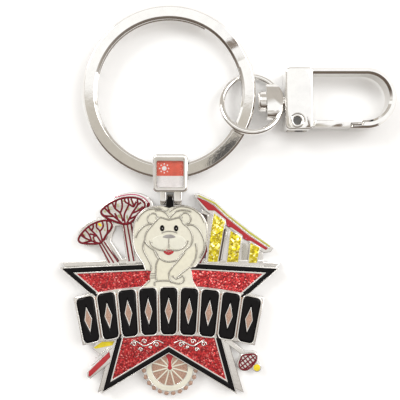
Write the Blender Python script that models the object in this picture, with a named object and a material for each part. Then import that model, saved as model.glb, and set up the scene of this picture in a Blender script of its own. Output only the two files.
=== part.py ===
"""Souvenir keychain: a split ring that carries a swivel hook and a hinged, enamelled medallion.

Lengths below are in millimetres and are turned into metres as each mesh is made. The object lies on
its back: +Z is up from the table and z = 0 is the table. Outlines are drawn about a drawing centre
near the middle of the object; the root empty moves that centre so that the whole object's box is
centred on the origin.
"""

from math import cos, pi, radians, sin

import bmesh
import bpy
from mathutils import Matrix, Vector

MM = 0.001
DRAWING_SHIFT = (-4.975, 0.356)

# Split ring: one flat strip wound twice round, so that it has two coils.
RING_CENTRE = (-5.7, 20.0)
RING_OUTER_R = 16.0
RING_BAND = 2.5
COIL_T = 0.96
COIL_GAP = 0.04
RING_BOTTOM = 1.5
RING_RAMP = radians(18)
RING_END = radians(3)
RING_SEAM = radians(130)
RING_STEPS = 60
RING_BEVEL = 0.22

# Swivel ring: a wire oval that leans under the split ring on one side and over it on the other.
LINK_CENTRE = (9.55, 17.85, 2.6)
LINK_RX = 5.5
LINK_RY = 5.85
LINK_WIRE_R = 0.57
LINK_LEAN = radians(-20)
BOSS_X = (12.3, 15.3)
BOSS_HALF_Y = 3.5
BOSS_HALF_Z = 1.6
BOSS_CORNER = 1.3

# Rivet that joins the swivel ring to the hook. The hook turns about its axis, which runs along X.
SWIVEL_Y = 18.2
SWIVEL_Z = 2.5
SHANK_R = 1.0
RUNNING = 0.05
SEAT = 0.03
HEAD_R = 1.95
HEAD_EDGE = 0.35
HEAD_X = (10.75, 12.25)
SHANK_END = 17.4
AXIS_R = 0.02

# Hook: block and U-shaped bar in one casting.
BLOCK_X = (15.55, 20.6)
BLOCK_Y = (12.8, 24.2)
BLOCK_Z = (0.0, 5.0)
BLOCK_CORNER = 0.9
BAR_Z = (0.7, 4.3)
BEND_X = 30.55
BEND_OUTER = (18.75, 5.55)
BEND_INNER = (18.9, 4.25)
BAR_Y_AT_BLOCK = (23.15, 24.3)
NOSE_STEPS = [(27.65, 13.2), (27.82, 13.85), (29.52, 13.95), (29.9, 14.65)]

# Gate and its tubular rivet.
GATE_PIVOT = (17.7, 14.45)
GATE_ROOT_Z = (1.65, 3.35)
GATE_EYE_R = 1.45
GATE_ROOT = [(17.7, 13.3), (22.0, 13.3), (22.0, 14.55), (17.7, 15.6)]
GATE_LEVER = [(21.1, 13.2), (27.5, 13.2), (27.68, 13.97), (29.38, 14.07), (29.72, 14.65), (21.1, 14.65)]
SLOT_X = 16.1
SLOT_Y = 17.2
SLOT_Z = (1.6, 3.4)
EYELET_R = 1.0
EYELET_HOLE_R = 0.7
FLANGE_R = 1.4
FLANGE_T = 0.25
SPRING_X = (16.3, 17.9)
SPRING_Y = 16.55
SPRING_R = 0.55
SPRING_WIRE_R = 0.1

# Bail: a bead with a tunnel for the split ring, a labelled front and two hinge lugs.
BAIL_X = (-8.5, -2.2)
BAIL_Y = (1.4, 8.35)
BAIL_Z = (0.0, 6.0)
BAIL_CORNER = 0.8
BAIL_EDGE = 0.45
TUNNEL_Y = (3.7, 7.25)
TUNNEL_Z = (1.05, 3.8)
WINDOW_X = (-7.85, -2.9)
WINDOW_Y = (2.2, 7.1)
WINDOW_CORNER = 0.4
WINDOW_DEPTH = 0.8
LABEL_T = 0.12
DOME_RINGS = ((1.0, 0.0), (1.0, 0.42), (0.93, 0.62), (0.75, 0.78), (0.45, 0.86))

# Hinge between the bail and the medallion, along X.
HINGE_Y = 0.1
HINGE_Z = 1.7
LUG_R = 1.05
LUGS_X = ((-7.45, -6.3), (-4.85, -3.4))
KNUCKLE_X = (-6.12, -5.03)
KNUCKLE_R = 0.95
NECK_HALF_Z = 0.9
TONGUE = [(-6.12, -0.9), (-5.03, -0.9), (-4.7, -2.2), (-6.6, -2.2)]
TONGUE_Z = (0.6, 2.6)
TONGUE_ENAMEL = [(-6.0, 0.35), (-5.15, 0.35), (-4.85, -0.75), (-5.58, -0.95), (-6.3, -0.75)]
PIN_R = 0.35

# Medallion: levels of the plate's tops, and the enamel pools sunk into them.
BASE_TOP = 1.3
STAR_TOP = 2.6
LION_TOP = 2.9
FRIEZE_TOP = 3.1
SIDE_TOP = 2.2
WHEEL_TOP = 1.9
POOL_DEPTH = 0.5
POOL_GAP = 0.05
FILL_DROP = 0.04

STAR = [
    (-26.1, -12.6), (-10.4, -11.9), (-0.4, -11.75), (14.75, -12.65), (3.2, -22.7), (6.85, -36.05),
    (-5.8, -28.5), (-18.3, -36.0), (-14.7, -22.4),
]
STAR_RIM = 0.22
STAR_BORDER = 0.8
LINE_WALL = 0.18

FRIEZE_MIDDLE = -5.8
FRIEZE_TOP_Y = -16.05
FRIEZE_LOW_Y = -25.0
FRIEZE_SAG = 0.0073
FRIEZE_PITCH = (3.9, 3.53)
ORNAMENTS = 9
ORNAMENT_WALL = 0.35
ORNAMENT_CORNER = 0.75
FRIEZE_MARGIN = 0.2
LOZENGE = (0.75, 2.5)
LOZENGE_WALL = 0.14

MANE = [
    (-5.8, -1.3), (-7.8, -1.05), (-10.0, -2.0), (-11.65, -3.9), (-12.2, -5.9), (-12.0, -8.4),
    (-11.1, -10.9), (-10.0, -12.6), (-1.0, -12.4), (0.0, -11.0), (1.0, -8.7), (1.15, -6.4),
    (0.65, -4.1), (-1.1, -1.9), (-3.7, -1.05),
]
LION_CHEST = [(-10.0, -11.6), (-9.3, -14.3), (-11.2, -16.6), (-0.9, -16.6), (-1.5, -14.6), (-1.3, -11.6)]
EYES = ((-7.03, -5.22), (-4.38, -5.22))
NOSE = (-5.75, -6.6)
MOUTH = (-5.8, -9.55)

WHEEL = (-5.65, -31.45)
WHEEL_R = 4.95
WHEEL_SCALLOPS = 26
WHEEL_RIM_R = (3.3, 4.45)
WHEEL_SPOKES = 8
WHEEL_ARC = (radians(-188), radians(8))
WHEEL_FRAME = [(-6.0, -31.6), (-5.3, -31.6), (-5.2, -29.4), (-4.6, -28.5), (-6.7, -28.5), (-6.1, -29.4)]

LARGE_CANOPY = ((-13.85, -2.0), (4.35, 2.45), 12)
SMALL_CANOPY = ((-19.55, -6.05), (3.25, 1.95), 26)
LARGE_STEM = [(-14.5, -4.0), (-12.95, -4.0), (-12.0, -12.2), (-13.7, -12.2)]
SMALL_STEM = [(-19.2, -7.6), (-17.8, -7.4), (-15.1, -12.2), (-17.1, -12.2)]
LARGE_CANOPY_BASE = ((-13.6, -1.8), (4.95, 3.15), 12)
SMALL_CANOPY_BASE = ((-19.4, -5.95), (3.8, 2.45), 26)
TREE_BACK = [(-18.6, -6.5), (-16.4, -3.6), (-13.4, -3.6), (-11.0, -5.0), (-10.6, -12.4), (-16.4, -12.4)]
TREE_HOLE = [(-15.8, -5.0), (-14.75, -4.9), (-13.95, -10.8), (-14.6, -11.0), (-16.7, -7.7)]
ROOF = [
    (-1.05, 1.15), (-1.1, 0.7), (1.0, -2.0), (11.9, -9.9), (13.2, -9.75), (13.7, -9.0), (13.5, -8.45),
    (9.5, -5.55), (5.3, -2.2), (3.0, -0.1), (-0.2, 1.25),
]
ROOF_FILL = [
    (-0.7, 0.5), (1.3, -1.85), (2.6, -2.1), (4.75, -3.7), (5.5, -4.9), (8.9, -7.45), (12.4, -9.3),
    (12.7, -8.95), (9.0, -6.5), (4.8, -3.1), (2.6, -1.0), (0.3, 0.3),
]
ROOF_LINE = [
    (-0.45, 0.75), (2.75, -0.75), (4.95, -2.85), (9.1, -6.2), (12.95, -8.8), (13.1, -8.5), (9.3, -5.9),
    (5.1, -2.55), (2.9, -0.45), (-0.2, 0.95),
]
HOUSE = [(0.3, -1.6), (1.2, -12.4), (11.9, -12.4), (11.9, -9.4)]
TOWERS = [
    [(2.65, -2.5), (4.65, -4.0), (3.25, -11.5), (1.5, -11.5)],
    [(5.75, -5.7), (7.7, -6.95), (7.15, -11.55), (5.1, -11.55)],
    [(9.4, -8.1), (11.1, -9.1), (10.65, -11.65), (9.05, -11.65)],
]
BOAT = [
    (-20.9, -32.7), (-20.5, -33.5), (-15.2, -29.2), (-14.6, -26.1), (-19.3, -26.7), (-20.2, -28.2),
    (-17.9, -29.5),
]
SAIL = [(-19.7, -27.9), (-18.6, -26.9), (-15.9, -26.75), (-16.3, -27.6), (-19.0, -28.3)]
STRIPE = [(-20.45, -32.85), (-16.5, -28.35), (-16.2, -29.2), (-20.1, -33.0)]
LANTERN = [(6.9, -30.6), (7.7, -28.7), (9.4, -28.0), (10.5, -28.4), (10.5, -30.9), (9.0, -32.0)]
LANTERN_FILL = [(7.25, -30.55), (7.95, -29.0), (9.4, -28.35), (10.1, -28.7), (9.4, -31.3), (8.7, -31.65)]
POLE = [(4.6, -26.6), (5.3, -25.8), (8.6, -28.6), (8.1, -29.3)]
BALL = ((10.5, -31.3), 0.62)

NICKEL = ("polished nickel", (0.80, 0.79, 0.77), 1.0, 0.18)
STEEL = ("spring steel", (0.62, 0.62, 0.63), 1.0, 0.3)
BLACK = ("black enamel", (0.012, 0.010, 0.012), 0.0, 0.12)
RED_GLITTER = ("red glitter enamel", (0.58, 0.02, 0.025), 0.25, 0.3)
YELLOW_GLITTER = ("yellow glitter enamel", (0.75, 0.60, 0.01), 0.25, 0.3)
CREAM = ("cream enamel", (0.84, 0.81, 0.68), 0.0, 0.2)
COPPER = ("copper tan enamel", (0.52, 0.30, 0.22), 0.3, 0.35)
RED = ("red enamel", (0.50, 0.02, 0.025), 0.0, 0.2)
DARK_RED = ("dark red enamel", (0.19, 0.01, 0.02), 0.0, 0.25)
LIME = ("yellow green enamel", (0.58, 0.58, 0.05), 0.0, 0.25)
YELLOW = ("yellow enamel", (0.80, 0.62, 0.01), 0.0, 0.2)
GREY = ("grey enamel", (0.36, 0.35, 0.35), 0.2, 0.3)
LABEL = ("printed label", (0.85, 0.30, 0.25), 0.0, 0.5)
EPOXY = ("clear epoxy", (0.95, 0.95, 0.95), 0.0, 0.05)


# ---- outlines -------------------------------------------------------------------------------------


def area(outline):
    """Signed area: positive when the outline runs anticlockwise."""
    pairs = zip(outline, outline[1:] + outline[:1])
    return sum(ax * by - bx * ay for (ax, ay), (bx, by) in pairs) / 2


def offset(outline, distance):
    """The outline moved outwards by distance, or inwards where it is negative, with sharp corners."""
    points = outline if area(outline) > 0 else outline[::-1]
    moved = []
    for i, here in enumerate(points):
        point = Vector(here)
        before = (point - Vector(points[i - 1])).normalized()
        after = (Vector(points[(i + 1) % len(points)]) - point).normalized()
        normal = Vector((before.y + after.y, -before.x - after.x)).normalized()
        reach = distance / max(0.28, normal.dot(Vector((after.y, -after.x))))
        moved.append(tuple(point + normal * reach))
    return moved


def arc(centre, radius, start, end, steps):
    """Points along a circular arc, both ends included. Angles are in radians."""
    turns = [start + (end - start) * i / steps for i in range(steps + 1)]
    return [(centre[0] + radius * cos(t), centre[1] + radius * sin(t)) for t in turns]


def ellipse(centre, half, lean, steps=28):
    """A leaning ellipse. lean is in degrees, anticlockwise."""
    points = []
    for i in range(steps):
        t = 2 * pi * i / steps
        x, y = half[0] * cos(t), half[1] * sin(t)
        turn = radians(lean)
        across, up = x * cos(turn) - y * sin(turn), x * sin(turn) + y * cos(turn)
        points.append((centre[0] + across, centre[1] + up))
    return points


def rounded(outline, rounds=2):
    """The outline with its corners cut again and again, which rounds them."""
    for _ in range(rounds):
        cut = []
        for (ax, ay), (bx, by) in zip(outline, outline[1:] + outline[:1]):
            cut.append((ax * 0.75 + bx * 0.25, ay * 0.75 + by * 0.25))
            cut.append((ax * 0.25 + bx * 0.75, ay * 0.25 + by * 0.75))
        outline = cut
    return outline


def rectangle(xs, ys):
    return [(xs[0], ys[0]), (xs[1], ys[0]), (xs[1], ys[1]), (xs[0], ys[1])]


def round_rectangle(xs, ys, radius, steps=4):
    corners = ((xs[1], ys[1], 0), (xs[0], ys[1], 90), (xs[0], ys[0], 180), (xs[1], ys[0], 270))
    points = []
    for x, y, turn in corners:
        centre = (x - radius * (1 if x == xs[1] else -1), y - radius * (1 if y == ys[1] else -1))
        points += arc(centre, radius, radians(turn), radians(turn + 90), steps)
    return points


# ---- objects --------------------------------------------------------------------------------------


def clear_scene():
    for old in list(bpy.data.objects):
        bpy.data.objects.remove(old, do_unlink=True)


def material(look):
    name, colour, metallic, roughness = look
    found = bpy.data.materials.get(name)
    if found:
        return found
    made = bpy.data.materials.new(name)
    made.use_nodes = True
    shader = made.node_tree.nodes["Principled BSDF"]
    shader.inputs["Base Color"].default_value = (*colour, 1.0)
    shader.inputs["Metallic"].default_value = metallic
    shader.inputs["Roughness"].default_value = roughness
    return made


def empty(name, parent, place):
    """An empty at a place in the drawing. Its drawing place is kept, for the meshes under it."""
    made = bpy.data.objects.new(name, None)
    bpy.context.collection.objects.link(made)
    made.parent = parent
    made["drawing"] = place
    base = parent["drawing"] if parent else (0, 0, 0)
    made.location = [(here - there) * MM for here, there in zip(place, base)]
    return made


def solid(name, points, faces):
    """A mesh object from points in drawing millimetres, its faces turned outwards."""
    mesh = bpy.data.meshes.new(name)
    build = bmesh.new()
    corners = [build.verts.new([value * MM for value in point]) for point in points]
    for face in faces:
        build.faces.new([corners[i] for i in face])
    bmesh.ops.recalc_face_normals(build, faces=build.faces)
    build.to_mesh(mesh)
    build.free()
    made = bpy.data.objects.new(name, mesh)
    bpy.context.collection.objects.link(made)
    return made


def tube(name, rings, closed):
    """A solid through rings of points, each with the same count. It is closed on itself, or capped."""
    count = len(rings[0])
    points = [point for ring in rings for point in ring]
    faces = []
    for i in range(len(rings) if closed else len(rings) - 1):
        j = (i + 1) % len(rings)
        for k in range(count):
            m = (k + 1) % count
            faces.append((i * count + k, i * count + m, j * count + m, j * count + k))
    if not closed:
        faces.append(tuple(range(count)))
        faces.append(tuple(range((len(rings) - 1) * count, len(rings) * count)))
    return solid(name, points, faces)


def prism(name, outline, low, high):
    """An outline in the XY plane, raised from low to high."""
    return tube(name, [[(x, y, low) for x, y in outline], [(x, y, high) for x, y in outline]], False)


def side_prism(name, outline, low, high):
    """An outline in the YZ plane, run along X from low to high."""
    return tube(name, [[(low, y, z) for y, z in outline], [(high, y, z) for y, z in outline]], False)


def turned(name, profile, centre, axis, steps=24):
    """A closed profile of (radius, height) turned round a line along Z or X through centre."""
    rings = []
    for i in range(steps):
        t = 2 * pi * i / steps
        ring = []
        for radius, height in profile:
            if axis == "Z":
                ring.append((centre[0] + radius * cos(t), centre[1] + radius * sin(t), height))
            else:
                ring.append((height, centre[0] + radius * cos(t), centre[1] + radius * sin(t)))
        rings.append(ring)
    return tube(name, rings, True)


def disc(name, centre, radius, low, high, steps=24):
    return prism(name, arc(centre, radius, 0, 2 * pi * (steps - 1) / steps, steps - 1), low, high)


def rod(name, centre, radius, low, high, steps=20):
    """A round bar along X through (y, z) = centre."""
    return side_prism(name, arc(centre, radius, 0, 2 * pi * (steps - 1) / steps, steps - 1), low, high)


def combine(target, tool, operation):
    """Applies one Boolean to target and removes the tool."""
    step = target.modifiers.new("step", "BOOLEAN")
    step.operation = operation
    step.object = tool
    graph = bpy.context.evaluated_depsgraph_get()
    mesh = bpy.data.meshes.new_from_object(target.evaluated_get(graph))
    target.modifiers.clear()
    target.data = mesh
    bpy.data.objects.remove(tool, do_unlink=True)
    return target


def add(target, *tools):
    for tool in tools:
        combine(target, tool, "UNION")
    return target


def cut(target, *tools):
    for tool in tools:
        combine(target, tool, "DIFFERENCE")
    return target


def keep(target, tool):
    return combine(target, tool, "INTERSECT")


def place(piece, look, body, smooth=None):
    """Gives a piece its material and puts it under its body's empty, its origin on that empty."""
    piece.data.materials.clear()
    piece.data.materials.append(material(look))
    base = body["drawing"]
    piece.data.transform(Matrix.Translation([-value * MM for value in base]))
    piece.parent = body
    if smooth:
        piece.data.shade_smooth()
        piece.data.set_sharp_from_angle(angle=radians(smooth))
    return piece


# ---- split ring -----------------------------------------------------------------------------------


def strip_section(radius, low):
    """The strip's section at one angle, as (radius, height): a flat bar with bevelled outer corners."""
    inner, outer = radius - RING_BAND / 2, radius + RING_BAND / 2
    high = low + COIL_T
    b = RING_BEVEL
    return [
        (inner + b, low), (outer - b, low), (outer, low + b), (outer, high - b),
        (outer - b, high), (inner + b, high), (inner, high - b), (inner, low + b),
    ]


def split_ring(body):
    """Two turns of strip. It rises by one coil over a short ramp, past its own two ends."""
    pitch = COIL_T + COIL_GAP
    middle = RING_OUTER_R - RING_BAND / 2
    start, stop = RING_RAMP + RING_END, 4 * pi - RING_RAMP - RING_END
    rings = []
    for i in range(2 * RING_STEPS + 1):
        t = start + (stop - start) * i / (2 * RING_STEPS)
        rise = min(1.0, max(0.0, (t - 2 * pi + RING_RAMP) / (2 * RING_RAMP)))
        rise = rise * rise * (3 - 2 * rise)
        section = strip_section(middle, RING_BOTTOM + pitch * rise)
        turn = t - pi / 2 + RING_SEAM
        x, y = cos(turn), sin(turn)
        rings.append([(RING_CENTRE[0] + r * x, RING_CENTRE[1] + r * y, z) for r, z in section])
    return place(tube("split_ring", rings, False), NICKEL, body, 40)


# ---- swivel ring and rivet ------------------------------------------------------------------------


def leaning(piece):
    """Leans a piece about the X line through the swivel ring's centre."""
    centre = Vector(LINK_CENTRE) * MM
    lean = Matrix.Translation(centre) @ Matrix.Rotation(LINK_LEAN, 4, "X") @ Matrix.Translation(-centre)
    piece.data.transform(lean)
    return piece


def swivel_ring(body):
    steps, sides = 40, 10
    rings = []
    for i in range(steps):
        t = 2 * pi * i / steps
        out = Vector((cos(t) / LINK_RX, sin(t) / LINK_RY)).normalized()
        middle = (LINK_CENTRE[0] + LINK_RX * cos(t), LINK_CENTRE[1] + LINK_RY * sin(t))
        ring = []
        for k in range(sides):
            s = 2 * pi * k / sides
            side, rise = LINK_WIRE_R * cos(s), LINK_WIRE_R * sin(s)
            ring.append((middle[0] + out.x * side, middle[1] + out.y * side, LINK_CENTRE[2] + rise))
        rings.append(ring)
    made = leaning(tube("swivel_ring", rings, True))
    ys = (SWIVEL_Y - BOSS_HALF_Y, SWIVEL_Y + BOSS_HALF_Y)
    zs = (SWIVEL_Z - BOSS_HALF_Z, SWIVEL_Z + BOSS_HALF_Z)
    boss = leaning(side_prism("boss", round_rectangle(ys, zs, BOSS_CORNER, 5), *BOSS_X))
    add(made, boss)
    centre = (SWIVEL_Y, SWIVEL_Z)
    cut(made, rod("trim", centre, 2 * BOSS_HALF_Y, BOSS_X[1], BOSS_X[1] + 3, 8))
    cut(made, rod("bore", centre, SHANK_R + RUNNING, BOSS_X[0] - 1, BOSS_X[1] + 1))
    return place(made, NICKEL, body, 40)


def swivel_rivet(body):
    low, high = HEAD_X
    profile = [(AXIS_R, low), (HEAD_R - HEAD_EDGE, low), (HEAD_R, low + HEAD_EDGE), (HEAD_R, high)]
    profile += [(SHANK_R, high), (SHANK_R, SHANK_END), (AXIS_R, SHANK_END)]
    made = turned("swivel_rivet", profile, (SWIVEL_Y, SWIVEL_Z), "X", 20)
    core = rod("core", (SWIVEL_Y, SWIVEL_Z), SHANK_R / 2, low, SHANK_END, 20)
    return place(add(made, core), NICKEL, body, 40)


# ---- hook and gate --------------------------------------------------------------------------------


def hook_outline():
    """The U-shaped bar, from the block round the bend to the stepped nose."""
    outer = arc((BEND_X, BEND_OUTER[0]), BEND_OUTER[1], radians(90), radians(-90), 16)
    inner = arc((BEND_X, BEND_INNER[0]), BEND_INNER[1], radians(-90), radians(90), 16)
    root = BLOCK_X[1] - 1.0
    low, high = BAR_Y_AT_BLOCK
    return [(root, high)] + outer + NOSE_STEPS + inner + [(root, low)]


def hook_body(body):
    block = prism("hook_body", round_rectangle(BLOCK_X, BLOCK_Y, BLOCK_CORNER), *BLOCK_Z)
    add(block, prism("bar", hook_outline(), *BAR_Z))
    cut(block, prism("slot", rectangle((SLOT_X, BLOCK_X[1] + 1), (BLOCK_Y[0] - 1, SLOT_Y)), *SLOT_Z))
    cut(block, disc("bore", GATE_PIVOT, EYELET_R + SEAT, -1, 6))
    for low, high in ((-1, FLANGE_T + SEAT + 0.05), (BLOCK_Z[1] - FLANGE_T - SEAT - 0.05, 6)):
        cut(block, disc("recess", GATE_PIVOT, FLANGE_R + SEAT, low, high))
    cut(block, rod("socket", (SWIVEL_Y, SWIVEL_Z), SHANK_R + SEAT, BLOCK_X[0] - 1, SHANK_END + 0.1, 20))
    return place(block, NICKEL, body, 40)


def gate(body):
    """The lever with a tab that laps over the hook's nose, and its thinner root inside the block."""
    lever = prism("gate", GATE_LEVER, *BAR_Z)
    add(lever, prism("root", GATE_ROOT, *GATE_ROOT_Z))
    add(lever, disc("eye", GATE_PIVOT, GATE_EYE_R, *GATE_ROOT_Z, 20))
    cut(lever, disc("hole", GATE_PIVOT, EYELET_R + RUNNING, 0, 5))
    return place(lever, NICKEL, body, 40)


def gate_rivet(body):
    low, high = BLOCK_Z[0] + 0.05, BLOCK_Z[1] - 0.05
    bead = FLANGE_T
    profile = [
        (EYELET_HOLE_R, low), (FLANGE_R, low), (FLANGE_R, low + bead), (EYELET_R, low + bead),
        (EYELET_R, high - bead), (FLANGE_R, high - bead), (FLANGE_R, high), (EYELET_HOLE_R, high),
    ]
    return place(turned("gate_rivet", profile, GATE_PIVOT, "Z"), NICKEL, body, 40)


def gate_spring(body):
    """A small coil in the slot, between the block's inner wall and the gate's heel."""
    turns, steps, sides = 4, 10, 5
    rings = []
    for i in range(turns * steps + 1):
        t = 2 * pi * i / steps
        along = SPRING_X[0] + (SPRING_X[1] - SPRING_X[0]) * i / (turns * steps)
        ring = []
        for k in range(sides):
            s = 2 * pi * k / sides
            radius = SPRING_R + SPRING_WIRE_R * cos(s)
            x = along + SPRING_WIRE_R * sin(s)
            ring.append((x, SPRING_Y + radius * cos(t), SWIVEL_Z + radius * sin(t)))
        rings.append(ring)
    return place(tube("gate_spring", rings, False), STEEL, body)


# ---- bail -----------------------------------------------------------------------------------------


def lug_outline(radius):
    """A lug's side: round about the hinge line, and square where it enters the bead."""
    return arc((HINGE_Y, HINGE_Z), radius, pi / 2, 3 * pi / 2, 12) + [
        (BAIL_Y[0] + 0.5, HINGE_Z - radius), (BAIL_Y[0] + 0.5, HINGE_Z + radius),
    ]


def bail_housing(body):
    made = prism("bail_housing", round_rectangle(BAIL_X, BAIL_Y, BAIL_CORNER), *BAIL_Z)
    soften(made, BAIL_EDGE)
    cut(made, side_prism("tunnel", rectangle(TUNNEL_Y, TUNNEL_Z), BAIL_X[0] - 1, BAIL_X[1] + 1))
    window = round_rectangle(WINDOW_X, WINDOW_Y, WINDOW_CORNER)
    cut(made, prism("window", window, BAIL_Z[1] - WINDOW_DEPTH, BAIL_Z[1] + 1))
    for low, high in LUGS_X:
        add(made, side_prism("lug", lug_outline(LUG_R), low, high))
    cut(made, rod("pin hole", (HINGE_Y, HINGE_Z), PIN_R + SEAT, LUGS_X[0][0] - 1, LUGS_X[1][1] + 1, 16))
    return place(made, NICKEL, body, 40)


def soften(piece, width):
    """Bevels the top rim of a prism."""
    build = bmesh.new()
    build.from_mesh(piece.data)
    top = max(vert.co.z for vert in build.verts)
    rim = [edge for edge in build.edges if all(top - vert.co.z < 1e-7 for vert in edge.verts)]
    bmesh.ops.bevel(build, geom=rim, offset=width * MM, segments=2, profile=0.5, affect="EDGES")
    build.to_mesh(piece.data)
    build.free()


def bail_label(body):
    floor = BAIL_Z[1] - WINDOW_DEPTH + POOL_GAP
    window = offset(round_rectangle(WINDOW_X, WINDOW_Y, WINDOW_CORNER), -POOL_GAP)
    return place(prism("bail_label", window, floor, floor + LABEL_T), LABEL, body)


def label_dome(body):
    """A low clear cushion: its outline shrinks in rings as it rises."""
    low = BAIL_Z[1] - WINDOW_DEPTH + LABEL_T + 2 * POOL_GAP
    middle = ((WINDOW_X[0] + WINDOW_X[1]) / 2, (WINDOW_Y[0] + WINDOW_Y[1]) / 2)
    base = offset(round_rectangle(WINDOW_X, WINDOW_Y, WINDOW_CORNER), -POOL_GAP)
    rings = []
    for scale, rise in DOME_RINGS:
        ring = []
        for x, y in base:
            across, up = (x - middle[0]) * scale, (y - middle[1]) * scale
            ring.append((middle[0] + across, middle[1] + up, low + rise))
        rings.append(ring)
    return place(tube("label_dome", rings, False), EPOXY, body, 50)


def hinge_pin(body):
    low, high = LUGS_X[0][0] + 0.05, LUGS_X[1][1] - 0.05
    return place(rod("bail_hinge_pin", (HINGE_Y, HINGE_Z), PIN_R, low, high, 16), STEEL, body, 40)


# ---- medallion outlines ---------------------------------------------------------------------------


def frieze_edge(x, level):
    return level - FRIEZE_SAG * (x - FRIEZE_MIDDLE) ** 2


def frieze_outline(margin):
    """The fan-shaped frieze: its ends lean outwards and its long edges sag towards the ends."""
    half = ORNAMENTS / 2
    top, low = [], []
    for i in range(19):
        step = -half + 2 * half * i / 18
        x = FRIEZE_MIDDLE + FRIEZE_PITCH[0] * step
        top.append((x, frieze_edge(x, FRIEZE_TOP_Y)))
        x = FRIEZE_MIDDLE + FRIEZE_PITCH[1] * step
        low.append((x, frieze_edge(x, FRIEZE_LOW_Y)))
    return offset(low + top[::-1], margin)


def fan_point(across, up):
    """A point of the fan: across counts ornaments from the middle, up runs from 0 to 1."""
    pitch = FRIEZE_PITCH[1] + (FRIEZE_PITCH[0] - FRIEZE_PITCH[1]) * up
    x = FRIEZE_MIDDLE + pitch * across
    return x, frieze_edge(x, FRIEZE_LOW_Y + (FRIEZE_TOP_Y - FRIEZE_LOW_Y) * up)


def ornament_outline(i):
    """One tall bar of the frieze, its four corners cut off."""
    left, right = i - 0.5, i + 0.5
    chip_x = ORNAMENT_CORNER / FRIEZE_PITCH[0]
    chip_y = ORNAMENT_CORNER / (FRIEZE_TOP_Y - FRIEZE_LOW_Y)
    corners = [
        (left + chip_x, 0), (right - chip_x, 0), (right, chip_y), (right, 1 - chip_y),
        (right - chip_x, 1), (left + chip_x, 1), (left, 1 - chip_y), (left, chip_y),
    ]
    return offset([fan_point(across, up) for across, up in corners], -ORNAMENT_WALL)


def lozenge_outline(i):
    """The slim lozenge in the middle of one bar."""
    wide = LOZENGE[0] / FRIEZE_PITCH[0]
    tall = LOZENGE[1] / (FRIEZE_TOP_Y - FRIEZE_LOW_Y)
    corners = ((i + wide, 0.5), (i, 0.5 + tall), (i - wide, 0.5), (i, 0.5 - tall))
    return [fan_point(across, up) for across, up in corners]


def canopy(centre, half, lean, grow=0.0):
    return ellipse(centre, (half[0] + grow, half[1] + grow), lean)


def star_line(inset):
    return offset(STAR, -inset)


def base_star():
    """The lower plate's star stands a little proud of the upper one."""
    grown = offset(STAR, 0.75)
    return [(min(15.2, max(-26.15, x + 0.2)), max(-36.3, y + 0.15)) for x, y in grown]


def wheel_outline():
    points = []
    for i in range(WHEEL_SCALLOPS * 4):
        t = 2 * pi * i / (WHEEL_SCALLOPS * 4)
        r = WHEEL_R + 0.35 * abs(cos(t * WHEEL_SCALLOPS / 2))
        points.append((WHEEL[0] + r * cos(t), WHEEL[1] + r * sin(t)))
    return points


def wheel_fill():
    """The cream rim below the star, with its spokes running in towards the hub."""
    inner_r, outer_r = WHEEL_RIM_R
    start, stop = WHEEL_ARC
    points = arc(WHEEL, outer_r, start, stop, 24)
    gap = (stop - start) / (WHEEL_SPOKES + 1)
    thin, tip = radians(2.2), radians(7)
    for k in range(WHEEL_SPOKES, 0, -1):
        t = start + gap * k
        points += arc(WHEEL, inner_r, t + gap - thin, t + thin, 3)
        points += arc(WHEEL, 0.95, t + tip, t - tip, 1)
    points += arc(WHEEL, inner_r, start + gap - thin, start, 3)
    return points


# ---- medallion ------------------------------------------------------------------------------------

POOLS = {}


def pool(name, outline, top, look, holes=(), region=None, blocks=()):
    """Notes an enamel pool: where it is, its level, and the raised shapes that interrupt it."""
    POOLS[name] = dict(outline=outline, top=top, look=look, holes=holes, region=region, blocks=blocks)


def pool_solid(name, note, low, high, shrink):
    """The pool's solid between two levels, its walls moved in by shrink."""
    made = prism(name, offset(note["outline"], -shrink), low, high)
    for hole in note["holes"]:
        cut(made, prism("hole", offset(hole, shrink), low - 1, high + 1))
    for block in note["blocks"]:
        cut(made, prism("block", offset(block, shrink), low - 1, high + 1))
    if note["region"]:
        keep(made, prism("region", note["region"], low - 1, high + 1))
    return made


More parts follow.
